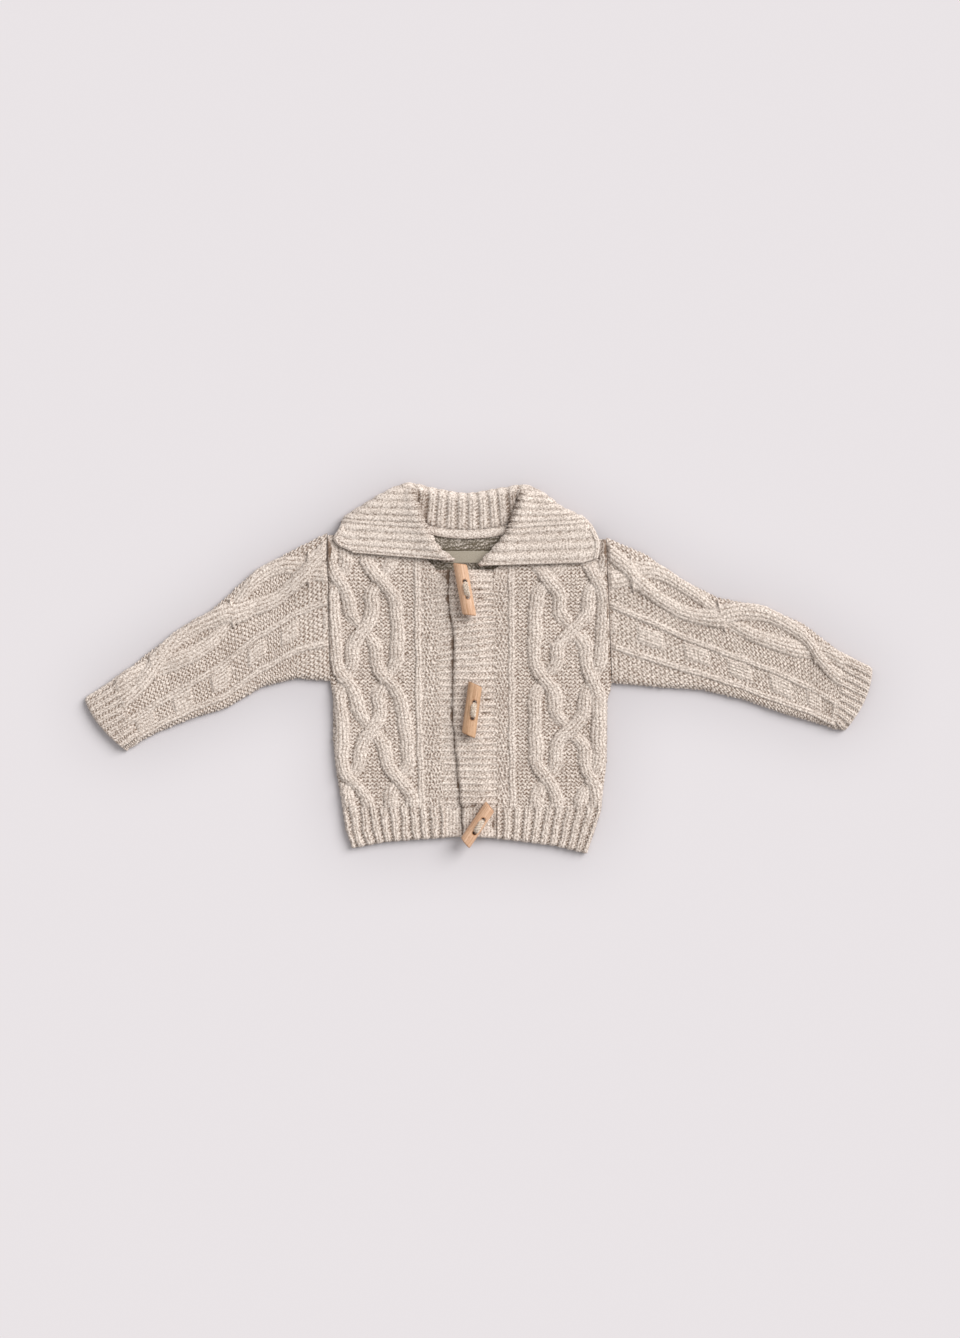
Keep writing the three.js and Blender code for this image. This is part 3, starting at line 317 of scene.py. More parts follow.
def plain(x: Array, y: Array) -> Knit:
    """Reverse side of plain knitting: purl bumps on a level ground."""
    return Knit(np.zeros_like(x), x / PURL_WALE, y / COURSE, np.ones_like(x))


def moss(x: Array, y: Array, height: float) -> Knit:
    """Moss stitch: bumps that stand half a stitch aside in every other row, all uneven."""
    x, y = x + 0.8 * unevenness(x, y, 9, 94), y + 0.8 * unevenness(x, y, 9, 95)
    row = np.floor(y / COURSE + 0.5)
    bumps = 0.4 + 0.9 * unevenness(x, y, 3.4, 93)
    return Knit(height * bumps, x / WALE + 0.5 * row, y / COURSE, np.full_like(x, 0.8))


def column(offset: Array, y: Array, wales: int, height: float) -> Knit:
    """Raised column of knit stitches about the line where offset is 0."""
    width = wales * WALE
    inside = np.abs(offset) < width / 2
    top = ridge(offset, width * 1.06) ** 0.7 * height
    return Knit(np.where(inside, top, ABSENT), offset / WALE + wales / 2, y / COURSE,
                np.zeros_like(offset))


def ribbed(offset: Array, y: Array, pitch: float, height: Array, wide: Array = 0.34,
           wales: Array = 2) -> Knit:
    """Ribs of knit stitches with a purl groove between.

    Args:
        offset: distance across the ribs, 0 on a crest.
        y: distance along them.
        pitch: crest to crest.
        height: how far a rib stands up.
        wide: half of a rib's share of the pitch.
        wales: how many wales show on each rib, 1 or 2.

    Returns:
        The knitting; a rib's top is one less a power of the share, under a root.
    """
    phase = offset / pitch - np.floor(offset / pitch + 0.5)
    top = np.clip(1 - (np.abs(phase) / (wide * 1.12)) ** 2.4, 0, 1) ** 0.6
    knit = np.abs(phase) < wide
    on_rib = (phase / wide + 1) * wales / 2
    wale = np.where(knit, on_rib, (phase - 0.5) / (1 - 2 * wide) + 0.5)
    return Knit(top * height, wale, y / COURSE, np.where(knit, 0.0, 1.0))


class Shell:
    """Collects grids of points and the faces between them, and makes one closed mesh."""

    def __init__(self) -> None:
        """Starts with no points and no faces."""
        self.points: list[Array] = []
        self.faces: list[Array] = []
        self.stitch: list[Array] = []
        self.painted_shade: list[Array] = []
        self.count = 0

    def grid(self, points: Array, knit: Knit | None = None, painted_shade: Array | None = None) -> Array:
        """Adds a grid of points.

        Args:
            points: places in mm, shaped (rows, columns, 3).
            knit: the knitting there, or None for plain fine knitting by place.
            painted_shade: painted shade at each point, from 0 to 1, stronger the deeper it lies in
                the relief.

        Returns:
            The points' numbers, shaped (rows, columns).
        """
        shape = points.shape[:2]
        if knit is None:
            knit = plain(points[..., 0], points[..., 1])
        if painted_shade is None:
            painted_shade = np.full(shape, 0.35)
        self.points.append(points.reshape(-1, 3))
        self.stitch.append(np.stack([knit.wale, knit.course, knit.purl], -1).reshape(-1, 3))
        self.painted_shade.append(painted_shade.reshape(-1))
        ids = self.count + np.arange(shape[0] * shape[1]).reshape(shape)
        self.count += ids.size
        return ids

    def sheet(self, ids: Array, flip: bool = False, around: bool = False) -> None:
        """Fills between the rows and columns of a grid, round to the first column if asked."""
        if around:
            ids = np.concatenate([ids, ids[:, :1]], 1)
        corners = [ids[:-1, :-1], ids[:-1, 1:], ids[1:, 1:], ids[1:, :-1]]
        quads = np.stack(corners[::-1] if flip else corners, -1).reshape(-1, 4)
        self.faces.append(quads)

    def zip(self, low: Array, low_shares: Array, high: Array, high_shares: Array) -> None:
        """Joins two edges that run the same way, a triangle for each step in order of share."""
        shares = np.concatenate([low_shares[1:], high_shares[1:]])
        is_low = np.concatenate([np.ones(len(low) - 1, bool), np.zeros(len(high) - 1, bool)])
        step_low = is_low[np.lexsort((~is_low, np.round(shares, 9)))]
        i = np.cumsum(step_low) - step_low
        j = np.cumsum(~step_low) - ~step_low
        on_low = np.stack([low[i], low[np.minimum(i + 1, len(low) - 1)], high[j]], -1)
        on_high = np.stack([low[i], high[np.minimum(j + 1, len(high) - 1)], high[j]], -1)
        self.faces.append(np.where(step_low[:, None], on_low, on_high))

    def close(self, top: Array, us: Array, vs: Array,
              under: Array, under_us: Array, under_vs: Array) -> None:
        """Joins the outline of an upper grid to that of a lower one, all the way round."""

        def outline(ids: Array, u: Array, v: Array) -> tuple[Array, Array]:
            """Point numbers round a grid's edge, and how far round each one lies."""
            ring = np.concatenate([ids[0, :-1], ids[:-1, -1], ids[-1, :0:-1], ids[:0:-1, 0],
                                   ids[:1, 0]])
            shares = np.concatenate([u[:-1], 1 + v[:-1], 3 - u[:0:-1], 4 - v[:0:-1], [4.0]])
            return ring, shares

        self.zip(*outline(under, under_us, under_vs), *outline(top, us, vs))

    def slab(self, points: Array, knit: Knit, painted_shade: Array, us: Array, vs: Array,
             under: Array, under_us: Array, under_vs: Array) -> None:
        """Adds a fine upper grid and a coarse lower one, and joins them all the way round.

        Args:
            points: the upper side in mm, shaped (rows, columns, 3).
            knit: its knitting.
            painted_shade: painted shade at each of its points, by how deep it lies in the relief.
            us: its shares across.
            vs: its shares along.
            under: the lower side, shaped in the same way.
            under_us: its shares across.
            under_vs: its shares along.
        """
        high, low = self.grid(points, knit, painted_shade), self.grid(under)
        self.sheet(high)
        self.sheet(low, flip=True)
        self.close(high, us, vs, low, under_us, under_vs)

    def mesh(self, name: str, finish: bpy.types.Material) -> bpy.types.Object:
        """Makes the object, with its faces outwards and smooth, and its stitches as attributes.

        Args:
            name: the piece's name.
            finish: its one material.

        Returns:
            The new object, at the origin.
        """
        points = np.concatenate(self.points)
        volume = 0.0
        for faces in self.faces:
            a, b, c = (points[faces[:, k]] for k in (0, 1, 2))
            volume += np.einsum("ij,ij->", a, np.cross(b, c))
            if faces.shape[1] == 4:
                d = points[faces[:, 3]]
                volume += np.einsum("ij,ij->", a, np.cross(c, d))
        faces = [f[:, ::-1] if volume < 0 else f for f in self.faces]
        data = new_mesh(name, to_frame(points), faces)
        stitch = data.attributes.new("stitch", "FLOAT_VECTOR", "POINT")
        stitch.data.foreach_set("vector", np.concatenate(self.stitch).astype(np.float32).ravel())
        painted_shade = data.attributes.new("painted_shade", "FLOAT", "POINT")
        painted_shade.data.foreach_set("value", np.concatenate(self.painted_shade).astype(np.float32))
        return dress(add_object(name, data), finish)


def new_mesh(name: str, points: Array, faces: Sequence[Array]) -> bpy.types.Mesh:
    """Puts points in metres and arrays of triangles or quads into a smooth mesh."""
    data = bpy.data.meshes.new(name)
    data.vertices.add(len(points))
    data.vertices.foreach_set("co", points.astype(np.float32).ravel())
    loops = np.concatenate([f.ravel() for f in faces]).astype(np.int32)
    sizes = np.concatenate([np.full(len(f), f.shape[1]) for f in faces])
    starts = np.concatenate([[0], np.cumsum(sizes)[:-1]]).astype(np.int32)
    data.loops.add(len(loops))
    data.loops.foreach_set("vertex_index", loops)
    data.polygons.add(len(sizes))
    data.polygons.foreach_set("loop_start", starts)
    data.polygons.foreach_set("use_smooth", np.ones(len(sizes), bool))
    data.update(calc_edges=True)
    data.validate()
    return data


def add_object(name: str, data: bpy.types.ID) -> bpy.types.Object:
    """Links a new object for some data at the origin."""
    piece = bpy.data.objects.new(name, data)
    bpy.context.scene.collection.objects.link(piece)
    return piece


def cavity_shade(form: Array, stitches: Array) -> Array:
    """Painted shade: how far each point lies below its surroundings, from 0 on crests to 1 in deep
    grooves.

    Args:
        form: height of the ribs and cables, in mm.
        stitches: height of the stitches on them, in mm.

    Returns:
        The sum of what the stitches' gaps, the ribs' edges and wide pockets add.
    """
    whole = form + stitches
    near = (blurred(stitches, 3) - stitches) / 0.8
    rim = (blurred(whole, 3) - whole) / 3.0
    pocket = np.clip(blurred(whole, 9) - whole, 0, None) / 2.4
    return np.clip(0.06 + 0.32 * near + 0.04 * rim + 0.36 * pocket**1.6, 0, 1)


def shares(cells: int) -> Array:
    """Evenly spaced shares from 0 to 1."""
    return np.linspace(0, 1, cells + 1)


def linear(code: str) -> tuple[float, float, float, float]:
    """Turns an sRGB hex colour into linear light with full cover."""
    value = [int(code[i:i + 2], 16) / 255 for i in (1, 3, 5)]
    light = [v / 12.92 if v <= 0.04045 else ((v + 0.055) / 1.055) ** 2.4 for v in value]
    return (*light, 1.0)


def node(tree: bpy.types.NodeTree, kind: str, links: dict | None = None,
         **settings: str | bool) -> bpy.types.Node:
    """Adds a node, sets its properties, and fills its inputs from sockets or values.

    Args:
        tree: the material's tree.
        kind: the node's type without its ShaderNode beginning.
        links: input name or number to a socket or a value.
        settings: properties of the node.

    Returns:
        The new node.
    """
    made = tree.nodes.new("ShaderNode" + kind)
    for name, value in settings.items():
        setattr(made, name, value)
    for name, value in (links or {}).items():
        if isinstance(value, bpy.types.NodeSocket):
            tree.links.new(value, made.inputs[name])
        else:
            made.inputs[name].default_value = value
    return made


def maths(tree: bpy.types.NodeTree, operation: str, *values: Input,
          clamp: bool = False) -> bpy.types.NodeSocket:
    """Adds a Math node on sockets or numbers, and gives its result's socket."""
    return node(tree, "Math", dict(enumerate(values)), operation=operation,
                use_clamp=clamp).outputs[0]


def noise(tree: bpy.types.NodeTree, place: bpy.types.NodeSocket, scale: float, detail: float,
          **more: float) -> bpy.types.NodeSocket:
    """Adds noise at a place, and gives its socket; more names other inputs of the node."""
    links = {"Vector": place, "Scale": scale, "Detail": detail}
    return node(tree, "TexNoise", links | {k.title(): v for k, v in more.items()}).outputs[0]


def blend(tree: bpy.types.NodeTree, factor: bpy.types.NodeSocket, first: str,
          second: str) -> bpy.types.NodeSocket:
    """Goes from one sRGB colour to another in proportion to a factor."""
    return node(tree, "Mix", {"Factor": factor, "A": linear(first), "B": linear(second)},
                data_type="RGBA").outputs["Result"]


def surface(tree: bpy.types.NodeTree, shader: bpy.types.Node, colour: bpy.types.NodeSocket,
            bump: dict, plain_inputs: dict[str, float]) -> None:
    """Wires a colour and a bump into a shader, and sets its plain inputs.

    Args:
        tree: the material's tree.
        shader: its shader.
        colour: the base colour.
        bump: inputs of the Bump node.
        plain_inputs: input name to number.
    """
    tree.links.new(colour, shader.inputs["Base Color"])
    tree.links.new(node(tree, "Bump", bump).outputs[0], shader.inputs["Normal"])
    for name, value in plain_inputs.items():
        shader.inputs[name].default_value = value


def blank(name: str) -> tuple[bpy.types.Material, bpy.types.NodeTree, bpy.types.Node]:
    """Starts a material with nothing but its shader and output."""
    material = bpy.data.materials.new(name)
    material.use_nodes = True
    tree = material.node_tree
    tree.nodes.clear()
    shader = node(tree, "BsdfPrincipled")
    node(tree, "OutputMaterial", {"Surface": shader.outputs[0]})
    return material, tree, shader


def dress(piece: bpy.types.Object, material: bpy.types.Material) -> bpy.types.Object:
    """Gives a piece its one material, and gives the piece back."""
    piece.data.materials.clear()
    piece.data.materials.append(material)
    return piece


@dataclass(frozen=True)
class YarnFinish:
    """Marl wool-blend yarn, knitted: matt, with pale and grey-brown fibres twisted together.

    The colour has pale lines along each wale, painted shade in the gaps between stitches and in
    the relief's hollows, and a soft bloom.
    """

    name: str
    light: str = "#FAEDE2"
    dark: str = "#7A6454"
    painted_shade_strength: float = 0.85  # how dark the painted shade in the relief's hollows goes
    bump: float = 0.6

    def build(self) -> bpy.types.Material:
        """Makes the material from the piece's stitch and hollow attributes."""
        material, tree, shader = blank(self.name)
        stitch = node(tree, "Attribute", attribute_name="stitch")
        painted_shade = node(tree, "Attribute", attribute_name="painted_shade").outputs["Fac"]
        parts = node(tree, "SeparateXYZ", {0: stitch.outputs["Vector"]})
        wale, course, purl = parts.outputs

        def math_node(operation: str, *values: Input, clamp: bool = False) -> bpy.types.NodeSocket:
            """Adds a Math node to this material."""
            return maths(tree, operation, *values, clamp=clamp)

        across = math_node("SUBTRACT", math_node("FRACT", wale), 0.5)
        side = math_node("ABSOLUTE", across)
        lean = math_node("MULTIPLY_ADD", side, -1.1, course)
        slant = math_node("SINE", math_node("MULTIPLY", lean, 2 * math.pi))
        arch = math_node("COSINE", math_node("MULTIPLY", across, math.pi))
        legs = math_node("MULTIPLY", arch, math_node("MULTIPLY_ADD", slant, 0.22, 0.78))
        # Painted shade between the legs of knit stitches
        gaps = math_node("POWER", math_node("SUBTRACT", 1.0, legs, clamp=True), 1.5)
        smooth_side = math_node("SUBTRACT", 1.0, purl, clamp=True)
        knit_gap_shade = math_node("MULTIPLY", gaps, smooth_side)
        # Painted shade in the zigzag gaps between purl bumps
        bend = math_node("COSINE", math_node("MULTIPLY", wale, 2 * math.pi))
        rows = math_node("MULTIPLY", math_node("MULTIPLY_ADD", bend, 0.2, course), 2 * math.pi)
        sway = math_node("SINE", math_node("MULTIPLY", course, 2 * math.pi))
        columns = math_node("MULTIPLY", math_node("MULTIPLY_ADD", sway, 0.25, wale), 2 * math.pi)
        between = math_node("MULTIPLY_ADD", math_node("COSINE", rows), -0.3, 0.5)
        between = math_node("MULTIPLY_ADD", math_node("COSINE", columns), -0.2, between)
        purl_gap_shade = math_node("MULTIPLY", math_node("POWER", between, 2.0),
                              math_node("MINIMUM", purl, 1.0))

        # Fibres run along the strand: 0.4 mm across it and 2.6 mm along it
        fibre_place = node(tree, "VectorMath", {0: stitch.outputs["Vector"], 1: (8.0, 1.4, 1.0)},
                           operation="MULTIPLY").outputs[0]
        fibres = noise(tree, fibre_place, 1.0, 3.0, roughness=0.65)
        object_place = node(tree, "TexCoord").outputs["Object"]
        # Marl flecks, 1 to 2 mm long
        flecks = noise(tree, object_place, 640.0, 2.5, roughness=0.75)
        cloud = noise(tree, object_place, 26.0, 2.0)
        fleck_dark = node(tree, "MapRange", {"Value": flecks, "From Min": 0.42, "From Max": 0.62,
                                             "To Min": 0.0, "To Max": 0.6}).outputs[0]
        fibre_dark = node(tree, "MapRange", {"Value": fibres, "From Min": 0.3, "From Max": 0.7,
                                             "To Min": -0.06, "To Max": 0.16}).outputs[0]
        # Painted shade, darker the deeper a point lies in the relief
        deep = math_node("MULTIPLY", math_node("POWER", painted_shade, 1.4), self.painted_shade_strength)
        shade = math_node("ADD", math_node("ADD", fleck_dark, fibre_dark), deep)
        shade = math_node("MULTIPLY_ADD", knit_gap_shade, 0.3, shade)
        shade = math_node("MULTIPLY_ADD", purl_gap_shade, 0.68, shade)
        shade = math_node("MULTIPLY_ADD", math_node("SUBTRACT", cloud, 0.5), 0.22, shade)
        shade = math_node("MINIMUM", math_node("MAXIMUM", shade, 0.0), 1.0)

        relief = math_node("MULTIPLY_ADD", legs, smooth_side, math_node("MULTIPLY", fibres, 0.9))
        relief = math_node("MULTIPLY_ADD", flecks, 0.5, relief)
        surface(tree, shader, blend(tree, shade, self.light, self.dark),
                {"Strength": self.bump, "Distance": 0.0005, "Height": relief},
                {"Roughness": 0.95, "Specular IOR Level": 0.15, "Sheen Weight": 0.18,
                 "Sheen Roughness": 0.6})
        return material


@dataclass(frozen=True)
class WoodFinish:
    """Natural beech-like wood, turned and sanded: pale, satin, with fine grain along the rod."""

    name: str = "sanded beech"
    light: str = "#E9C3A4"
    dark: str = "#A87650"

    def build(self) -> bpy.types.Material:
        """Makes the material from the rod attribute: place along, across and up, in mm."""
        material, tree, shader = blank(self.name)
        place = node(tree, "Attribute", attribute_name="rod").outputs["Vector"]
        # Grain lines, 1 mm apart and 25 mm long
        long = node(tree, "VectorMath", {0: place, 1: (0.04, 0.9, 0.9)},
                    operation="MULTIPLY").outputs[0]
        grain = noise(tree, long, 1.0, 4.0, roughness=0.6, distortion=0.4)
        # Pores, 0.2 mm wide and 3 mm long
        fine = node(tree, "VectorMath", {0: place, 1: (0.35, 5.0, 5.0)},
                    operation="MULTIPLY").outputs[0]
        pores = noise(tree, fine, 1.0, 2.0)
        broad = node(tree, "MapRange", {"Value": grain, "From Min": 0.3,
                                        "From Max": 0.72}).outputs[0]
        streak = node(tree, "MapRange", {"Value": pores, "From Min": 0.5, "From Max": 0.72,
                                         "To Max": 0.45}).outputs[0]
        # Darker at the ends, and painted shade in and round the holes
        dark_ends_and_hole_shade = node(tree, "Attribute", attribute_name="painted_shade").outputs["Fac"]
        shade = maths(tree, "MULTIPLY_ADD", broad, 0.75, streak)
        shade = maths(tree, "ADD", shade, dark_ends_and_hole_shade, clamp=True)
        surface(tree, shader, blend(tree, shade, self.light, self.dark),
                {"Strength": 0.25, "Distance": 0.0002, "Height": pores},
                {"Roughness": 0.5, "IOR": 1.5})
        return material


@dataclass(frozen=True)
class TapeFinish:
    """Woven polyester tape: smooth, with faint threads both ways."""

    name: str
    light: str
    dark: str
    thread: float = 0.45  # mm, drawn coarser than the real 0.3 so that it shows

    def build(self) -> bpy.types.Material:
        """Makes the material: threads both ways as waves on Object coordinates."""
        material, tree, shader = blank(self.name)
        place = node(tree, "TexCoord").outputs["Object"]
        parts = node(tree, "SeparateXYZ", {0: place})
        turns = 2 * math.pi / (self.thread * MM)
        waves = [maths(tree, "SINE", maths(tree, "MULTIPLY", parts.outputs[k], turns))
                 for k in (0, 1)]
        weave = maths(tree, "MULTIPLY", *waves)
        fleck = noise(tree, place, 900.0, 3.0)
        shade = maths(tree, "MULTIPLY_ADD", weave, 0.18, fleck, clamp=True)
        surface(tree, shader, blend(tree, shade, self.light, self.dark),
                {"Strength": 0.4, "Distance": 0.0002, "Height": weave}, {"Roughness": 0.75})
        return material


class Side(Enum):
    """A side of the cardigan, as seen from above."""

    LEFT = "left"
    RIGHT = "right"


def panel_plan(left: Line, right: Line, top: Line, us: Array, vs: Array) -> tuple[Array, Array]:
    """Plan of a panel: y runs from the hem over a level line to the top, x between the sides.

    Args:
        left: the left side as (y, x).
        right: the right side as (y, x).
        top: the upper edge as (x, y).
        us: shares across, left to right.
        vs: shares up, with 0.5 at the level line.

    Returns:
        x and y on the grid, in mm.
    """
    u, v = np.meshgrid(us, vs)
    level = LIFT[-1][0]
    low = read(HEM, mix(read(left, -160), read(right, -160), u))
    high = read(top, mix(top[0][0], top[-1][0], u))
    y = np.where(v < 0.5, mix(low, level, v * 2), mix(level, high, v * 2 - 1))
    return mix(read(left, y), read(right, y), u), y


def halved(below: int, above: int) -> Array:
    """Shares up a panel: even steps to 0.5, then even steps to 1."""
    return np.concatenate([shares(below) * 0.5, 0.5 + shares(above)[1:] * 0.5])


@dataclass
class BackPanel:
    """The back: plain reverse knitting, flat on the table, lifted where the collar folds under."""

    columns: int = 132
    below: int = 60
    above: int = 62

    def build(self, finish: bpy.types.Material) -> bpy.types.Object:
        """Makes the back's closed shell."""
        top_line = (*SHOULDER_LEFT[:-1], *BACK_NECK, *SHOULDER_RIGHT[1:])
        us, vs = shares(self.columns), halved(self.below, self.above)
        x, y = panel_plan(SIDE_LEFT, SIDE_RIGHT, top_line, us, vs)
        knit = plain(x, y)
        rise = y - y[:1]
        in_neck = smooth(y, 80, 90)
        relief = (knit.stitches() * 0.4 + 2 * roughness(x, y)) * in_neck
        keep = edge_keep(rise, 3, 0.3)
        z = lift(y) + (WALL + mix(0.3, 0.0, in_neck)) * keep + relief
        # The inside of the neck lies in the collar's shade
        shade = in_neck * (0.5 + 0.13 * unevenness(x, y, 16, 61) + 0.16 * unevenness(x, y, 3, 62))
        shade += 0.5 * bell(y - 114, 0.9)
        knit.purl = knit.purl * 0.4
        painted_shade = np.clip(cavity_shade(np.zeros_like(x), relief) + shade, 0, 1)
        low_us, low_vs = us[::6], vs[::2]
        lx, ly = panel_plan(SIDE_LEFT, SIDE_RIGHT, top_line, low_us, low_vs)
        shell = Shell()
        shell.slab(np.stack([x, y, z], -1), knit, painted_shade, us, vs,
                   np.stack([lx, ly, lift(ly)], -1), low_us, low_vs)
        return shell.mesh("back_panel", finish)


@dataclass
class FrontPanel:
    """A front: cable lattice, knit and moss columns beside the band, and a ribbed hem."""

    side: Side
    columns: int = 176
    below: int = 396
    above: int = 54

    def __post_init__(self) -> None:
        """Picks the lines for this side."""
        left = self.side is Side.LEFT
        self.outer = SIDE_LEFT if left else SIDE_RIGHT
        self.inner = INNER_LEFT if left else INNER_RIGHT
        self.shoulder = SHOULDER_LEFT if left else SHOULDER_RIGHT
        self.lanes = LANES_LEFT if left else LANES_RIGHT
        self.column = COLUMN_LEFT if left else COLUMN_RIGHT
        self.seed = 3 if left else 8

    def strand(self, index: int, x: Array, y: Array) -> Knit:
        """One cable strand: it keeps its lane, and swaps with a neighbour at each crossing.

        Its middle goes from lane to lane along a smooth step. Stitches follow it: the wale is
        the distance across it, and the course is the height of the nearest point on it.
        """
        row = np.floor((FIRST_CABLE_ROW - y) / CABLE_ROW_PITCH + 0.5)
        centre = FIRST_CABLE_ROW - row * CABLE_ROW_PITCH
        even = row % 2 == 0
        lane = read(self.lanes[index], y)
        even_lane = read(self.lanes[(0, 2, 1, 3)[index]], y)
        odd_lane = read(self.lanes[(1, 0, 3, 2)[index]], y)
        other = np.where(row < CABLE_ROWS, np.where(even, even_lane, odd_lane), lane)
        span = 0.86 * CABLE_ROW_PITCH
        t = np.clip((centre - y) / span + 0.5, 0, 1)
        turn = t * t * (3 - 2 * t)
        middle = mix(lane, other, turn)
        lean = -(other - lane) * 6 * t * (1 - t) / span
        offset = (x - middle) / np.sqrt(1 + lean**2)
        near = y + (x - middle) * lean / (1 + lean**2)
        offset = offset * (1 + 0.07 * np.sin(2 * np.pi * near / COURSE)
                           + 0.07 * unevenness(x, y, 9, self.seed + 90))
        over = np.sign(other - lane) * np.where(even, -1, 1)
        squeeze = bell(y - centre, 12) * np.abs(over)
        width = ROPE_WIDTH * (1 - 0.1 * squeeze)
        share = 2 * offset / width
        top = ridge(offset, width) * (ROPE_HEIGHT - 0.5 * squeeze)
        top = np.where(np.abs(share) < 1, top + over * bell(y - centre, 10) * 1.5, ABSENT)
        return Knit(top, share * 2 + 2, near / COURSE, np.zeros_like(x))

    def knit(self, x: Array, y: Array, inner: Array, outer: Array) -> Knit:
        """Composes the whole front: ground, strands, edge columns, then the hem rib."""
        x, y = strayed(x, y, self.seed + 30)
        made = plain(x, y)
        made.height = made.height - 0.2
        line = read(self.column, y)
        away = np.sign(outer - inner)
        past_column = (x - line) * away
        made = made.swapped(moss(x - inner, y, 0.6), past_column < -WALE)
        for index in range(4):
            made = made.topped(self.strand(index, x, y))
        made = made.topped(column(x - line, y, 2, COLUMN_HEIGHT))
        across = (x - inner) / np.abs(outer - inner) * 100
        pitch = RIB_PITCH * 100 / 99
        hem = ribbed(across, y, pitch, RIB_HEIGHT)
        in_hem = 1 - smooth(y + unevenness(x, y, 30, self.seed) * 1.5, HEM_TOP - 6, HEM_TOP + 5)
        joined = made.swapped(hem, in_hem > 0.5)
        joined.height = mix(made.height, hem.height, in_hem)
        return joined

    def build(self, finish: bpy.types.Material) -> bpy.types.Object:
        """Makes the front's closed shell."""
        pair = (self.outer, self.inner) if self.side is Side.LEFT else (self.inner, self.outer)
        us, vs = shares(self.columns), halved(self.below, self.above)
        x, y = panel_plan(*pair, self.shoulder, us, vs)
        inner, outer = read(self.inner, y), read(self.outer, y)
        knit = self.knit(x, y, inner, outer)
        cover = read(COLLAR_LOWER_EDGE, x)
        stitches = knit.stitches() * STITCH + roughness(x, y)
        relief = knit.height + stitches
        # Painted shade in the relief's hollows, a little more on the hem's ribs
        painted_shade = cavity_shade(knit.height, stitches) + 0.05 * (1 - smooth(y, HEM_TOP - 4, HEM_TOP + 4))
        to_side = np.abs(outer - x)
        # Painted shade in spots along the armhole seam
        seam_shade_spots = 0.35 + 0.5 * unevenness(x, y, 14, self.seed + 60)
        painted_shade += np.clip(seam_shade_spots, 0, 1) * (1 - smooth(to_side, 1, 3.5)) * smooth(y, -16, -4)
        # Painted shadow beside the collar's tips
        shadow_beside_tip = (1 - smooth(to_side, 2, 6)) * bell(y - 114, 9)
        painted_shade += 0.8 * shadow_beside_tip * (0.7 + 0.5 * unevenness(x, y, 4, self.seed + 61))
        relief *= 1 - 0.45 * smooth(y, cover - 9, cover - 1)
        relief *= 1 - 0.8 * smooth(y, cover - 1, cover + 5)
        relief += 0.35 * unevenness(x, y, 55, self.seed + 1) * smooth(y, -150, -120)
        below_arm = 1 - smooth(y, -14, -6)
        keep = np.minimum(
            edge_keep(y - y[:1], 3.2, 0.12),
            np.minimum(
                edge_keep(np.abs(x - inner), 0.5, 0.97),
                mix(edge_keep(np.abs(outer - x), 2.0, 0.72),
                    edge_keep(np.abs(outer - x), 4.5, 0.15), below_arm),
            ),
        )
        z = lift(y) + LAYER + (WALL + relief) * keep
        # The hem's edge scallops a little with its ribs
        near_hem = 1 - smooth(y - y[:1], 0, 12)
        shown_y = y - near_hem * (knit.height - 1.0) * 0.5
        at_side = below_arm * (1 - smooth(np.abs(outer - x), 0, 7))
        x = x + 0.7 * at_side * unevenness(x, y, 6, self.seed + 2)
        low_us, low_vs = us[::8], halved(40, 9)
        lx, ly = panel_plan(*pair, self.shoulder, low_us, low_vs)
        shell = Shell()
        shell.slab(np.stack([x, shown_y, z], -1), knit, painted_shade, us, vs,
                   np.stack([lx, ly, lift(ly) + LAYER], -1), low_us, low_vs)
        return shell.mesh(f"front_{self.side.value}_panel", finish)


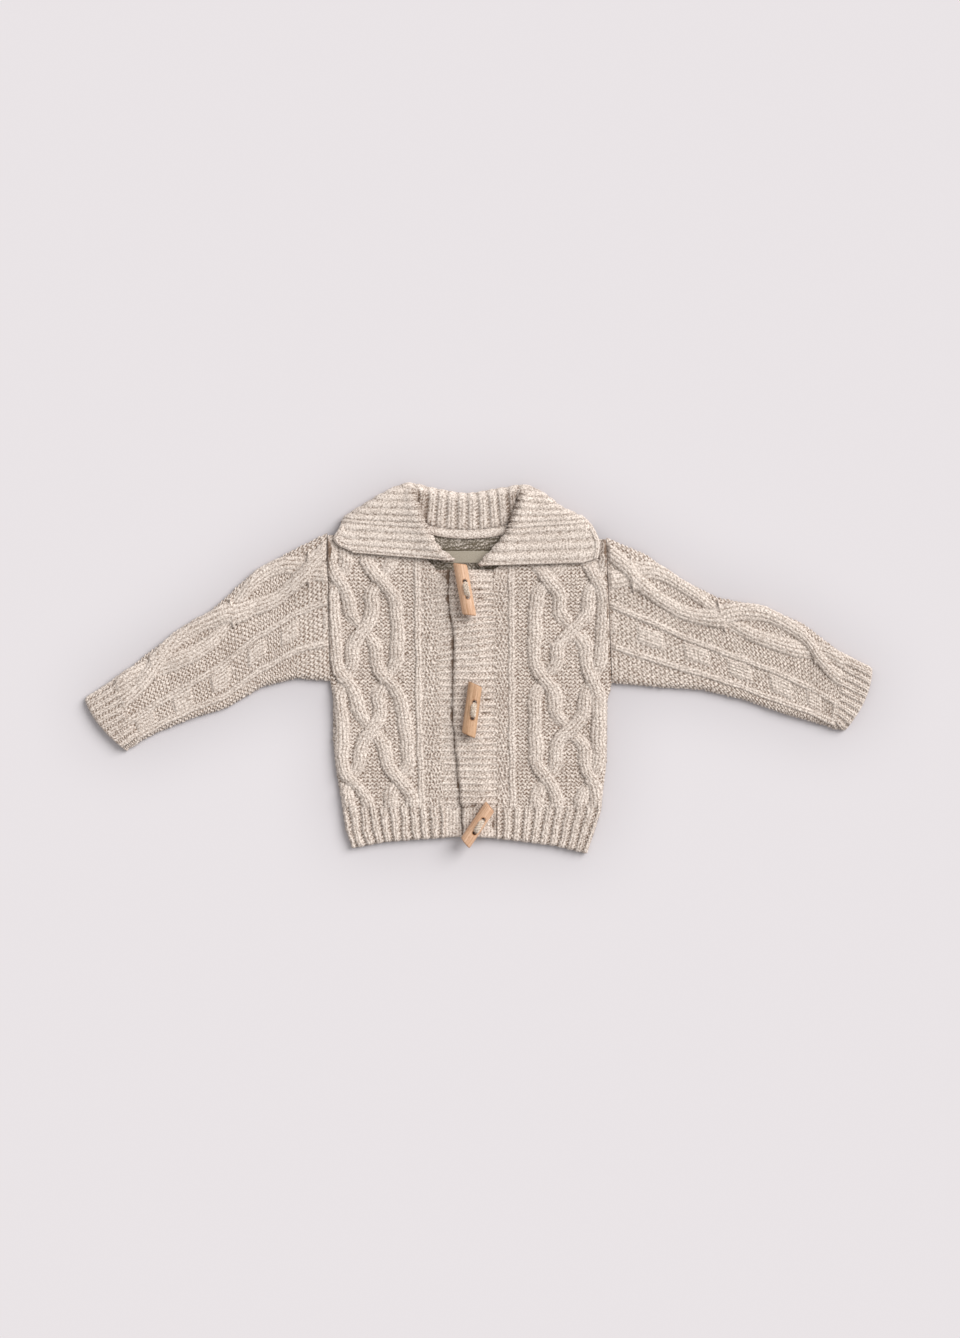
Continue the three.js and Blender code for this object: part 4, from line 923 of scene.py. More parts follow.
@dataclass
class Band:
    """A front band: ribs run across it, above a plain foot that joins the hem."""

    side: Side
    columns: int = 64
    rows: int = 380
    pitch: float = 6.2
    top: float = 95.5
    foot: float = -132.0
    underlap: float = 18.0
    sewn: float = 0.5  # how far it laps into the front's edge
    tilt: float = 0.13  # slope of the ribs between the upper two toggles
    foot_share: float = 0.12  # of the way up

    def lines(self, y: Array) -> tuple[Array, Array]:
        """Left and right side of the band at a height up the garment."""
        edge = read(BAND_EDGE, y)
        if self.side is Side.LEFT:
            return read(INNER_LEFT, y) - self.sewn, edge + self.underlap
        return edge, read(INNER_RIGHT, y) + self.sewn

    def base(self, x: Array, y: Array) -> Array:
        """Underside: on the back, or on the other band and stepped down off it to the seam."""
        if self.side is Side.LEFT:
            return lift(y) + LAYER
        clear = read(BAND_EDGE, y) + self.underlap + 0.6
        seam = read(INNER_RIGHT, y)
        t = np.clip((x - clear) / (seam - clear), 0, 1)
        return lift(y) + mix(LAYER * 2 + 1.2, LAYER, t * t * (3 - 2 * t))

    def plan(self, us: Array, vs: Array) -> tuple[Array, Array]:
        """Plan of the band: the foot first, then the ribs, each in even steps."""
        u, v = np.meshgrid(us, vs)
        low_left, low_right = self.lines(np.array(self.foot))
        hem = read(HEM, mix(low_left, low_right, u)) + 0.5
        low, rest = self.foot_share, 1 - self.foot_share
        y = np.where(v < low, mix(hem, self.foot, v / low),
                     mix(self.foot, self.top, (v - low) / rest))
        left, right = self.lines(y)
        return mix(left, right, u), y

    def knit(self, x: Array, y: Array) -> Knit:
        """Cross ribs of one knit and one purl stitch, plain knitting on the foot."""
        phase = (y - self.foot + 0.5 * unevenness(x, y, 30, 5)) / self.pitch
        phase = phase - self.tilt * bell(y - 35, 30) * (x - read(BAND_EDGE, y)) / self.pitch
        tall = (1.0 if self.side is Side.RIGHT else 0.6) * (1 + 0.4 * unevenness(x, y, 15, 6))
        ribs = Knit(rib(phase, 1) ** 0.7 * tall, phase * 2 + 0.5, x / WALE,
                    np.where(rib(phase, 1) > 0.35, 0.0, 0.8))
        foot = Knit(np.full_like(x, 0.2), x / WALE, y / COURSE, np.zeros_like(x))
        return foot.swapped(ribs, y > self.foot + 1)

    def creases(self, x: Array, y: Array) -> Array:
        """Dents of the right band: pulled stitches, one at the hem, and the fold at the foot."""
        dent = np.zeros_like(x)
        if self.side is Side.RIGHT:
            for dent_x, dent_y, reach, tall in BAND_DENTS:
                dent += 2.2 * bell(x - dent_x, reach) * bell(y - dent_y, tall)
            dent += 1.6 * bell(y - (self.foot + 1.5 + 0.02 * (x + 14) ** 2), 1.3) \
                * smooth(-2 - x, 0, 3)
        return dent

    def build(self, finish: bpy.types.Material) -> bpy.types.Object:
        """Makes the band's closed shell."""
        us, vs = shares(self.columns), shares(self.rows)
        x, y = self.plan(us, vs)
        knit = self.knit(x, y)
        left, right = self.lines(y)
        stitches = knit.stitches() * STITCH * 0.55 + roughness(x, y)
        form = knit.height - self.creases(x, y)
        relief = form + stitches
        # Painted shade in the relief's hollows and in the creases
        painted_shade = cavity_shade(form, stitches) + self.creases(x, y) * 0.25
        seam_side, free_side = (x - left, right - x) if self.side is Side.LEFT else (
            right - x, x - left)
        keep = np.minimum(
            np.minimum(edge_keep(seam_side, 0.5, 0.97), edge_keep(free_side, 3.5, 0.15)),
            np.minimum(edge_keep(y - y[:1], 3, 0.15), edge_keep(self.top - y, 3, 0.2)),
        )
        relief = relief * smooth(self.top - y, 1, 9)
        z = self.base(x, y) + (WALL + relief) * keep
        shown_x = x
        if self.side is Side.RIGHT:
            near_edge = np.clip(1 - free_side / 8, 0, 1)
            shown_x = x - near_edge * ((knit.height - 0.6) * 0.5 + unevenness(0.0, y, 11, 21))
        else:
            beside = x - read(BAND_EDGE, y)
            # Painted shadow of the right band's free edge, painted shade under the left lobe's tip
            # and in a small hole between stitches
            waver = unevenness(0.0, y, 17, 22)
            shade = smooth(beside, -2.8 - 2.0 * waver, -0.8) * (0.6 + 0.6 * waver)
            shade_under_lobe_tip = smooth(y - 84 + 0.7 * (x + 28), -2, 2) * (0.5 + 0.15 * waver)
            hole = bell(np.hypot(x + 29.5, y - 67), 2.2)
            painted_shade = np.maximum(painted_shade, np.clip(shade + shade_under_lobe_tip + hole, 0, 1))
        low_us, low_vs = us[::4], vs[::10]
        lx, ly = self.plan(low_us, low_vs)
        shell = Shell()
        shell.slab(np.stack([shown_x, y, z], -1), knit, painted_shade, us, vs,
                   np.stack([lx, ly, self.base(lx, ly)], -1), low_us, low_vs)
        return shell.mesh(f"band_{self.side.value}_ribs", finish)


@dataclass
class Sleeve:
    """A flattened sleeve: rope cable, knit columns, small blocks, and a ribbed cuff."""

    side: Side
    rows: int = 380
    across: int = 168
    length: float = 250.0
    cuff: float = 32.0
    inside: float = 0.8
    crossing_pitch: float = 0.335  # of the length
    spread: float = 0.128  # of the width
    strand_width: float = 16.5

    def __post_init__(self) -> None:
        """Picks the stations for this side."""
        self.stations = np.array(SLEEVE_LEFT if self.side is Side.LEFT else SLEEVE_RIGHT)
        self.columns = np.array(SLEEVE_COLUMNS)
        self.outward = -1 if self.side is Side.LEFT else 1
        left = self.side is Side.LEFT
        self.first_crossing = 0.06 if left else 0.08
        self.first_block, self.block_pitch = (0.14, 0.168) if left else (0.13, 0.152)
        # Weaker painted shade on the right sleeve, so that it shows lighter
        self.gap_shade, self.cuff_ribs = (1.0, 1.6) if left else (0.72, 1.15)

    def station(self, column_at: int, v: Array) -> Array:
        """Reads one column of the stations along the sleeve."""
        return np.interp(v, self.stations[:, 0], self.stations[:, column_at])

    def plan(self, c: Array, v: Array) -> tuple[Array, Array, Array]:
        """Plan across (c) and along (v): straight across, with a bow at the cuff's end.

        Returns:
            x, y and the width of the sleeve there, in mm.
        """
        ux, uy, lx, ly = (self.station(k, v) for k in (1, 2, 3, 4))
        bow = 4 * c * (1 - c) * 6 * smooth(v, 0.8, 1)
        return mix(ux, lx, c) + self.outward * bow, mix(uy, ly, c), np.hypot(ux - lx, uy - ly)

    def knit(self, c: Array, v: Array, width: Array) -> Knit:
        """Composes the upper side: ground, rope, columns and blocks, then the cuff's rib."""
        across, along = c * width, v * self.length
        stray = strayed(across, along, 70 if self.outward < 0 else 80)
        across, along = mix(across, stray[0], 0.5), mix(along, stray[1], 0.5)
        share_of = [np.interp(v, self.columns[:, 0], self.columns[:, k]) for k in (1, 2, 3, 4)]
        rope, knit_line, block_line, low_line = (s * width for s in share_of)
        made = plain(across, along)
        made.height = made.height - 0.2
        phase = (v - self.first_crossing) / self.crossing_pitch * np.pi
        swing = np.sin(phase)
        spread = self.spread * width
        # The strands swing wide and stay wide between crossings
        wide = np.sign(swing) * np.abs(swing) ** 0.7
        lean = np.gradient(wide * spread, axis=0) / np.gradient(along, axis=0)
        strand = self.strand_width
        for sign in (1, -1):
            middle = rope + sign * spread * wide
            offset = (across - middle) / np.sqrt(1 + lean**2)
            near = along + sign * (across - middle) * lean / (1 + lean**2)
            offset = offset * (1 + 0.05 * np.sin(2 * np.pi * near / COURSE))
            cross = bell((1 - np.abs(np.cos(phase))) * 2, 0.4)
            share = 2 * offset / strand
            top = ridge(offset, strand) * (ROPE_HEIGHT - 0.3)
            top = np.where(np.abs(share) < 1, top + sign * cross * 1.3, ABSENT)
            made = made.topped(Knit(top, share * 2 + 2, near / COURSE, np.zeros_like(c)))
        for line in (knit_line, low_line):
            made = made.topped(column(across - line, along, 2, COLUMN_HEIGHT))
        place = (v - self.first_block) / self.block_pitch
        from_block = np.abs(place - np.floor(place + 0.5)) * self.block_pitch * self.length
        aside = np.abs(across - block_line)
        block = (1 - smooth(from_block, 8.5, 12)) * (1 - smooth(aside, 6.5, 9.5)) * 1.5
        made = made.topped(Knit(block - 0.4, (across - block_line) / WALE, along / COURSE,
                                np.zeros_like(c)))
        cuff = ribbed(across, along, 7.0, self.cuff_ribs)
        start = 1 - self.cuff / self.length
        in_cuff = smooth(v, start - 0.015, start + 0.015)
        joined = made.swapped(cuff, in_cuff > 0.5)
        joined.height = mix(made.height, cuff.height, in_cuff)
        return joined

    def build(self, finish: bpy.types.Material) -> bpy.types.Object:
        """Makes the sleeve's closed tube: fine above, plain below and inside."""
        vs = shares(self.rows)
        # Denser towards both edges, where the tube turns over
        even = shares(self.across)
        us = 0.5 - 0.5 * np.cos(np.pi * even) * (0.72 + 0.28 * np.abs(np.cos(np.pi * even)))
        c, v = np.meshgrid(us, vs)
        x, y, width = self.plan(c, v)
        knit = self.knit(c, v, width)
        stitches = knit.stitches() * STITCH + roughness(x, y)
        relief = knit.height + stitches
        painted_shade = cavity_shade(knit.height, stitches) * self.gap_shade
        seed = 11 if self.side is Side.LEFT else 17
        relief = relief + 0.6 * unevenness(x, y, 60, seed) * smooth(v, 0.02, 0.1)
        ends = smooth(v, 0, 0.012) * (1 - smooth(v, 0.99, 1))
        height = WALL * 2 + self.inside
        edge = np.minimum(c, 1 - c) * width
        keep = edge_keep(edge, 5.0, 0.0)
        top = (height + relief * ends) * edge_keep((1 - v) * self.length, 2.5, 0.55)
        base = lift(y) * (1 - smooth(v, 0, 0.3))
        z = base + mix(1.6, top, keep)
        ragged = knit.height + (stitches - 0.5) * 1.3
        bulge = np.sign(c - 0.5) * ragged * (1 - smooth(edge, 0, 9)) * ends
        ux, uy, lx, ly = (self.station(k, v) for k in (1, 2, 3, 4))
        x, y = x + bulge * (lx - ux) / width, y + bulge * (ly - uy) / width
        shell = Shell()
        high = shell.grid(np.stack([x, y, z], -1), knit, painted_shade)
        shell.sheet(high)

        low_vs = vs[::10]
        low_cs = np.linspace(0.985, 0.015, 13)
        lc, lv = np.meshgrid(low_cs, low_vs)
        bx, by, _ = self.plan(lc, lv)
        bz = lift(by) * (1 - smooth(lv, 0, 0.3))
        low = shell.grid(np.stack([bx, by, bz], -1))
        shell.sheet(low)
        shell.zip(high[:, -1][::-1], 1 - vs[::-1], low[:, 0][::-1], 1 - low_vs[::-1])
        shell.zip(low[:, -1][::-1], 1 - low_vs[::-1], high[:, 0][::-1], 1 - vs[::-1])

        half = 9
        turn = np.concatenate([np.linspace(0, 0.5, half, endpoint=False),
                               np.linspace(0.5, 1, half, endpoint=False)])
        iu, iv = np.meshgrid(turn, low_vs)
        _, _, wide = self.plan(np.full_like(iv, 0.5), iv)
        inset = (WALL + 0.4) / wide
        ic = np.where(iu <= 0.5, mix(inset, 1 - inset, iu * 2), mix(1 - inset, inset, iu * 2 - 1))
        ix, iy, _ = self.plan(ic, iv)
        opening = np.where((iu == 0) | (iu == 0.5), 0.5, np.where(iu < 0.5, 1.0, 0.0))
        iz = lift(iy) * (1 - smooth(iv, 0, 0.3)) + WALL + self.inside * opening
        # Painted shade inside the tube's opening
        hole = shell.grid(np.stack([ix, iy, iz], -1), painted_shade=np.full(iu.shape, 0.9))
        shell.sheet(hole, flip=True, around=True)

        def ring(row: int) -> tuple[Array, Array]:
            """The points round the tube at one row."""
            ids = np.concatenate([high[row], low[row], high[row, :1]])
            return ids, np.concatenate([us * 0.5, 1 - low_cs * 0.5, [1.0]])

        inner_shares = np.concatenate([turn, [1.0]])
        outer_ids, outer_shares = ring(0)
        inner_ids = np.concatenate([hole[0], hole[0, :1]])
        shell.zip(inner_ids, inner_shares, outer_ids, outer_shares)
        outer_ids, outer_shares = ring(-1)
        inner_ids = np.concatenate([hole[-1], hole[-1, :1]])
        shell.zip(inner_ids[::-1], 1 - inner_shares[::-1], outer_ids[::-1], 1 - outer_shares[::-1])
        return shell.mesh(f"sleeve_{self.side.value}_tube", finish)


def catmull(points: Array, places: Array) -> Array:
    """Catmull-Rom curve through points along their first axis, at places in steps of one."""
    last = len(points) - 1
    i = np.clip(np.floor(places).astype(int), 0, last - 1)
    t = (places - i).reshape(-1, *([1] * (points.ndim - 1)))
    a, b, c, d = (points[np.clip(i + k, 0, last)] for k in (-1, 0, 1, 2))
    return 0.5 * (2 * b + (c - a) * t + (2 * a - 5 * b + 4 * c - d) * t**2
                  + (3 * b - a - 3 * c + d) * t**3)


@dataclass
class Collar:
    """The ribbed collar: one wall that rolls over and wraps the shoulders."""

    around: int = 420
    along: int = 160
    crest_out: float = 4.4

    def lines(self) -> Array:
        """Control points of each row's rib line, shaped (rows, 11, 3)."""
        rows = np.array(COLLAR_ROWS, dtype=float)
        seam, roll, fold, edge = (rows[:, k:k + 2] for k in (1, 3, 5, 7))
        seam_z, roll_z, crest_z, lobe_z, fold_z, edge_z = rows[:, 9:].T
        span = np.hypot(*(fold - roll).T)
        wraps = edge_z < lobe_z - 3
        crest = np.minimum(self.crest_out / span, 0.6)

        def at(p: Array, q: Array, share: Array, z: Array) -> Array:
            """Points part of the way from one edge to the other, at given heights."""
            share = np.broadcast_to(share, z.shape)[:, None]
            return np.concatenate([mix(p, q, share), z[:, None]], 1)

        return np.stack([
            at(seam, seam, 0.0, seam_z),
            at(seam, roll, 0.55, mix(seam_z, roll_z, 0.3)),
            at(roll, roll, 0.0, roll_z),
            at(roll, fold, crest, crest_z),
            at(roll, fold, mix(crest, 1, 0.22), mix(lobe_z, crest_z, 0.25)),
            at(roll, fold, mix(crest, 1, 0.55), lobe_z),
            at(roll, fold, mix(crest, 1, 0.88), mix(lobe_z, fold_z, np.where(wraps, 0.2, 0.8))),
            at(fold, fold, 0.0, fold_z),
            at(fold, edge, 0.16, mix(fold_z, edge_z, np.where(wraps, 0.95, 0.3))),
            at(fold, edge, 0.55, mix(fold_z, edge_z, np.where(wraps, 1.0, 0.6))),
            at(edge, edge, 0.0, edge_z),
        ], 1)

    def middle(self, us: Array, vs: Array) -> Array:
        """The wall's middle surface: a curve along each line, then curves across the lines."""
        lines = self.lines()
        along = catmull(np.swapaxes(lines, 0, 1), vs * (lines.shape[1] - 1))
        rib_of_row = np.array([row[0] for row in COLLAR_ROWS])
        place = np.interp(us * COLLAR_RIBS, rib_of_row, np.arange(len(rib_of_row)))
        points = np.swapaxes(catmull(np.swapaxes(along, 0, 1), place), 0, 1)
        points[..., 2] = np.maximum(points[..., 2], WALL / 2)
        return points

    def faces_of(self, us: Array, vs: Array) -> tuple[Array, Array]:
        """The middle surface and its unit normals, from differences on the grid."""
        points = self.middle(us, vs)
        normal = np.cross(np.gradient(points, axis=1), np.gradient(points, axis=0))
        normal /= np.linalg.norm(normal, axis=-1, keepdims=True) + 1e-9
        return points, normal

    def knit(self, points: Array, us: Array, vs: Array) -> Knit:
        """Ribs of two knit stitches and a groove, and a rolled bound-off edge."""
        u, _ = np.meshgrid(us, vs)
        steps = np.linalg.norm(np.diff(points, axis=0, prepend=points[:1]), axis=-1)
        run = np.cumsum(steps, axis=0)
        lobe = smooth(vs, 0.2, 0.34)[:, None]
        made = ribbed(u * SHOWN_RIBS, run, 1.0, mix(1.4, 0.95, lobe), mix(0.35, 0.455, lobe),
                      np.where(lobe > 0.5, 1, 2))
        to_edge = run[-1:] - run
        cast_off = ridge(to_edge - 3.2, 5.0) * 1.7
        bound = Knit(cast_off, to_edge / 2.6, u * COLLAR_RIBS * 2.4, np.zeros_like(u))
        return made.swapped(bound, to_edge < 5.2)

    def build(self, finish: bpy.types.Material) -> bpy.types.Object:
        """Makes the collar's closed shell."""
        us, vs = shares(self.around), shares(self.along)
        points, out = self.faces_of(us, vs)
        knit = self.knit(points, us, vs)
        u, v = np.meshgrid(us, vs)
        lobe = smooth(v, 0.2, 0.34)
        stitches = knit.stitches() * STITCH * mix(0.8, 0.45, lobe)
        stitches += roughness(points[..., 0], points[..., 1]) * 0.7
        # Painted shade in the ribs' hollows, a little less on the lobes and more on the stand's
        # sides inside the neck
        painted_shade = cavity_shade(knit.height * mix(1.4, 1.1, lobe), stitches) - 0.05 * lobe
        aside = np.maximum(-42 - points[..., 0], points[..., 0] - 19)
        painted_shade += 0.35 * smooth(aside, 0, 10) * (1 - lobe) * smooth(points[..., 1], 122, 132)
        shows = smooth(out[..., 2], -0.4, 0.2) * smooth(v, 0, 0.03)
        ends = edge_keep(np.minimum(u, 1 - u) * 240, 4, 0.35) * edge_keep((1 - v) * 130, 2.2, 0.2)
        relief = (knit.height + stitches) * shows
        high_points = points + out * ((WALL / 2 + relief) * ends)[..., None]
        high_points[..., 2] = np.maximum(high_points[..., 2], 0)
        low_us, low_vs = shares(105), shares(80)
        low_points, low_out = self.faces_of(low_us, low_vs)
        low_points = low_points - low_out * (WALL / 2)
        low_points[..., 2] = np.maximum(low_points[..., 2], 0)
        shell = Shell()
        shell.slab(high_points, knit, painted_shade, us, vs, low_points, low_us, low_vs)
        return shell.mesh("collar_ribs", finish)


@dataclass
class NeckTrim:
    """The bare woven label and the knitted binding over the back neck seam."""

    label_left: float = -36.0
    label_right: float = 17.0
    label_low: float = 101.5
    label_high: float = 113.0
    binding_left: float = -50.0
    binding_right: float = 26.0
    binding_rise: float = 2.6  # above the back's neck edge
    binding_width: float = 8.8

    def strip(self, name: str, low: Callable[[Array], Array], high: Callable[[Array], Array],
              ends: tuple[float, float], thick: float, crown: float,
              finish: bpy.types.Material) -> bpy.types.Object:
        """A strip on the back: flat below, crowned above, its edges rounded.

        Args:
            name: the piece's name.
            low: lower edge as a function of x.
            high: upper edge as a function of x.
            ends: x of its two ends.
            thick: thickness in mm.
            crown: extra height along its middle.
            finish: its material.

        Returns:
            The strip's object.
        """
        us, vs = shares(160), shares(24)
        u, v = np.meshgrid(us, vs)
        x = mix(*ends, u)
        y = mix(low(x), high(x), v)
        edge = np.minimum(np.minimum(v, 1 - v) * (high(x) - low(x)),
                          np.minimum(u, 1 - u) * (ends[1] - ends[0]))
        base = lift(y) + LAYER + 0.75
        knit = Knit(np.zeros_like(x), v, x / WALE, np.zeros_like(x))
        top = thick + crown * (ridge(v - 0.5, 1.02) + roughness(x, y))
        z = base + top * edge_keep(edge, 0.8, 0.3)
        shell = Shell()
        shell.slab(np.stack([x, y, z], -1), knit, cavity_shade(np.zeros_like(x), z - base), us, vs,
                   np.stack([x, y, base], -1)[::6, ::8], us[::8], vs[::6])
        return shell.mesh(name, finish)

    def build(self, tape: bpy.types.Material, yarn: bpy.types.Material) -> list[bpy.types.Object]:
        """Makes the label and the binding."""

        def edge(x: Array) -> Array:
            """The binding's upper edge."""
            return read(BACK_NECK, x) + self.binding_rise

        flat = self.strip("neck_label_tape", lambda x: np.full_like(x, self.label_low),
                          lambda x: np.full_like(x, self.label_high),
                          (self.label_left, self.label_right), 0.5, 0.0, tape)
        bound = self.strip("neck_binding_strip", lambda x: edge(x) - self.binding_width, edge,
                           (self.binding_left, self.binding_right), 0.9, 1.0, yarn)
        return [flat, bound]


@dataclass
class Toggle:
    """A wooden toggle with slanted ends and two holes, tied on with plied yarn."""

    number: int
    head: tuple[float, float, float]
    foot: tuple[float, float, float]
    width: float
    yarn_side: float
    thickness: float = 10.0
    hole: float = 4.0
    holes_apart: float = 15.0
    slant: float = 0.3
    rim: float = 1.7  # rounding of the ends
    ply_out: tuple[float, float] = (1.5, 0.75)  # from the tie's middle, across and up
    ply_round: tuple[float, float] = (1.35, 0.85)  # half a ply's thickness, across and up
    ply_turn: float = 8.0  # mm for each turn of the twist

    def frame_of(self) -> tuple[Array, float]:
        """Axes of the toggle as rows (along, across, up, middle), and its length in mm."""
        head, foot = np.array(self.head), np.array(self.foot)
        along = (foot - head) / np.linalg.norm(foot - head)
        across = np.cross([0, 0, 1], along)
        across /= np.linalg.norm(across)
        up = np.cross(along, across)
        return np.stack([along, across, up, (head + foot) / 2]), float(np.linalg.norm(foot - head))

    def placed(self, local: Array) -> Array:
        """Places points that were made along x onto the toggle."""
        axes, _ = self.frame_of()
        return local @ axes[:3] + axes[3]

    def rod(self) -> bpy.types.Object:
        """The rod: ovals carried along x, each leaning with the slant, rounded at its rims."""
        _, length = self.frame_of()
        turn = np.linspace(0, np.pi / 2, 7)
        near = np.concatenate([[0.0], self.rim * (1 - np.cos(turn))])
        size = np.concatenate([[0.0], mix(1 - self.rim / (self.width / 2), 1, np.sin(turn))])
        body = np.linspace(near[-1], length - near[-1], 60)[1:-1]
        station = np.concatenate([near, body, length - near[::-1]]) - length / 2
        scale = np.concatenate([size, np.ones(len(body)), size[::-1]])
        angle = np.linspace(0, 2 * np.pi, 64, endpoint=False)
        s, a = np.meshgrid(station, angle, indexing="ij")
        k = scale[:, None]
        wobble = 1 + 0.012 * unevenness(s, a * 3, 18, 40 + self.number)
        y = np.cos(a) * self.width / 2 * k * wobble
        z = np.sin(a) * self.thickness / 2 * k * wobble
        x = s + self.slant * y
        local = np.stack([x, y, z], -1)[1:-1]
        caps = np.array([[station[0], 0, 0], [station[-1], 0, 0]])
        points = np.concatenate([local.reshape(-1, 3), caps])
        rows, cols = local.shape[:2]
        ids = np.arange(rows * cols).reshape(rows, cols)
        ids = np.concatenate([ids, ids[:, :1]], 1)
        quads = np.stack([ids[:-1, :-1], ids[:-1, 1:], ids[1:, 1:], ids[1:, :-1]], -1)
        first = np.stack([ids[0, 1:], ids[0, :-1], np.full(cols, rows * cols)], -1)
        last = np.stack([ids[-1, :-1], ids[-1, 1:], np.full(cols, rows * cols + 1)], -1)
        faces = [quads.reshape(-1, 4)[:, ::-1], first[:, ::-1], last[:, ::-1]]
        data = new_mesh(f"toggle_{self.number}_rod", points * MM, faces)
        return add_object(data.name, data)

    def drilled(self, rod: bpy.types.Object, wood: bpy.types.Material) -> bpy.types.Object:
        """Cuts the two holes, records the rod's own coordinates, and puts it in its place."""
        cutters = []
        for side in (-1, 1):
            bpy.ops.mesh.primitive_cylinder_add(
                vertices=40, radius=self.hole / 2 * MM, depth=self.thickness * 2 * MM,
                location=(side * self.holes_apart / 2 * MM, self.yarn_side * MM, 0))
            cutters.append(bpy.context.object)
            cut = rod.modifiers.new("hole", "BOOLEAN")
            cut.operation, cut.solver, cut.object = "DIFFERENCE", "EXACT", cutters[-1]
        ready = rod.evaluated_get(bpy.context.evaluated_depsgraph_get())
        data = bpy.data.meshes.new_from_object(ready)
        rod.modifiers.clear()
        rod.data = data
        for cutter in cutters:
            bpy.data.objects.remove(cutter)
        local = np.empty(len(data.vertices) * 3, np.float32)
        data.vertices.foreach_get("co", local)
        local = local.reshape(-1, 3) / MM
        place = data.attributes.new("rod", "FLOAT_VECTOR", "POINT")
        shift = np.array([self.number * 31.0, self.number * 7.0, 0])
        place.data.foreach_set("vector", (local + shift).astype(np.float32).ravel())
        _, length = self.frame_of()
        # Darker at the ends; painted shade in and round the holes
        from_middle = np.abs(local[:, 0] - self.slant * local[:, 1])
        at_end = smooth(from_middle, length / 2 - 1.3, length / 2)
        holes = np.minimum(*(np.hypot(local[:, 0] - side * self.holes_apart / 2,
                                      local[:, 1] - self.yarn_side) for side in (-1, 1)))
        hole_shade = (1 - smooth(holes, self.hole / 2 + 0.05, self.hole / 2 + 0.9)) * 0.9
        dark_ends_and_hole_shade = data.attributes.new("painted_shade", "FLOAT", "POINT")
        dark_ends_and_hole_shade.data.foreach_set("value", np.maximum(at_end * 0.45, hole_shade).astype(np.float32))
        data.vertices.foreach_set("co", to_frame(self.placed(local)).astype(np.float32).ravel())
        data.polygons.foreach_set("use_smooth", np.ones(len(data.polygons), bool))
        data.set_sharp_from_angle(angle=math.radians(40))
        data.update()
        return dress(rod, wood)

    def tie(self, yarn: bpy.types.Material) -> bpy.types.Object:
        """Three plies twisted round a path: up one hole, across the top and down the other."""
        reach = self.holes_apart / 2 - 1.6
        low, high = -self.thickness / 2 + 0.4, self.thickness / 2 + 1.3
        path = np.array([(-reach, low), (-reach, 0), (-reach, high - 3.4),
                         (-reach + 1.8, high - 0.6), (0, high + 0.3), (reach - 1.8, high - 0.6),
                         (reach, high - 3.4), (reach, 0), (reach, low)])
        places = np.linspace(0, len(path) - 1, 90)
        line = catmull(path, places)
        points = np.stack([line[:, 0], np.full(len(line), self.yarn_side), line[:, 1]], -1)
        ahead = np.gradient(points, axis=0)
        ahead /= np.linalg.norm(ahead, axis=1, keepdims=True)
        side = np.tile([0.0, 1.0, 0.0], (len(points), 1))
        up = np.cross(ahead, side)
        shell = Shell()
        run = np.cumsum(np.linalg.norm(np.diff(points, axis=0, prepend=points[:1]), axis=1))
        for ply in range(3):
            twist = 2 * np.pi * (run / self.ply_turn + ply / 3)
            off = (np.cos(twist)[:, None] * side * self.ply_out[0]
                   + np.sin(twist)[:, None] * up * self.ply_out[1])
            angle = np.linspace(0, 2 * np.pi, 12, endpoint=False)
            ring = (np.cos(angle)[None, :, None] * side[:, None] * self.ply_round[0]
                    + np.sin(angle)[None, :, None] * up[:, None] * self.ply_round[1])
            grid = (points + off)[:, None] + ring
            knit = Knit(np.zeros(grid.shape[:2]), np.tile(angle / 2, (len(points), 1)),
                        np.tile(run[:, None] / COURSE, (1, 12)), np.zeros(grid.shape[:2]))
            ids = shell.grid(self.placed(grid.reshape(-1, 3)).reshape(grid.shape), knit,
                             np.full(grid.shape[:2], 0.05))
            shell.sheet(ids, around=True)
            for row, flip in ((0, True), (-1, False)):
                cap = self.placed((points + off)[row][None])[None]
                centre = shell.grid(cap, painted_shade=np.full((1, 1), 0.3))[0, 0]
                loop = np.concatenate([ids[row], ids[row, :1]])
                tri = np.stack([loop[:-1], loop[1:], np.full(12, centre)], -1)
                shell.faces.append(tri[:, ::-1] if flip else tri)
        return shell.mesh(f"toggle_{self.number}_tie", yarn)


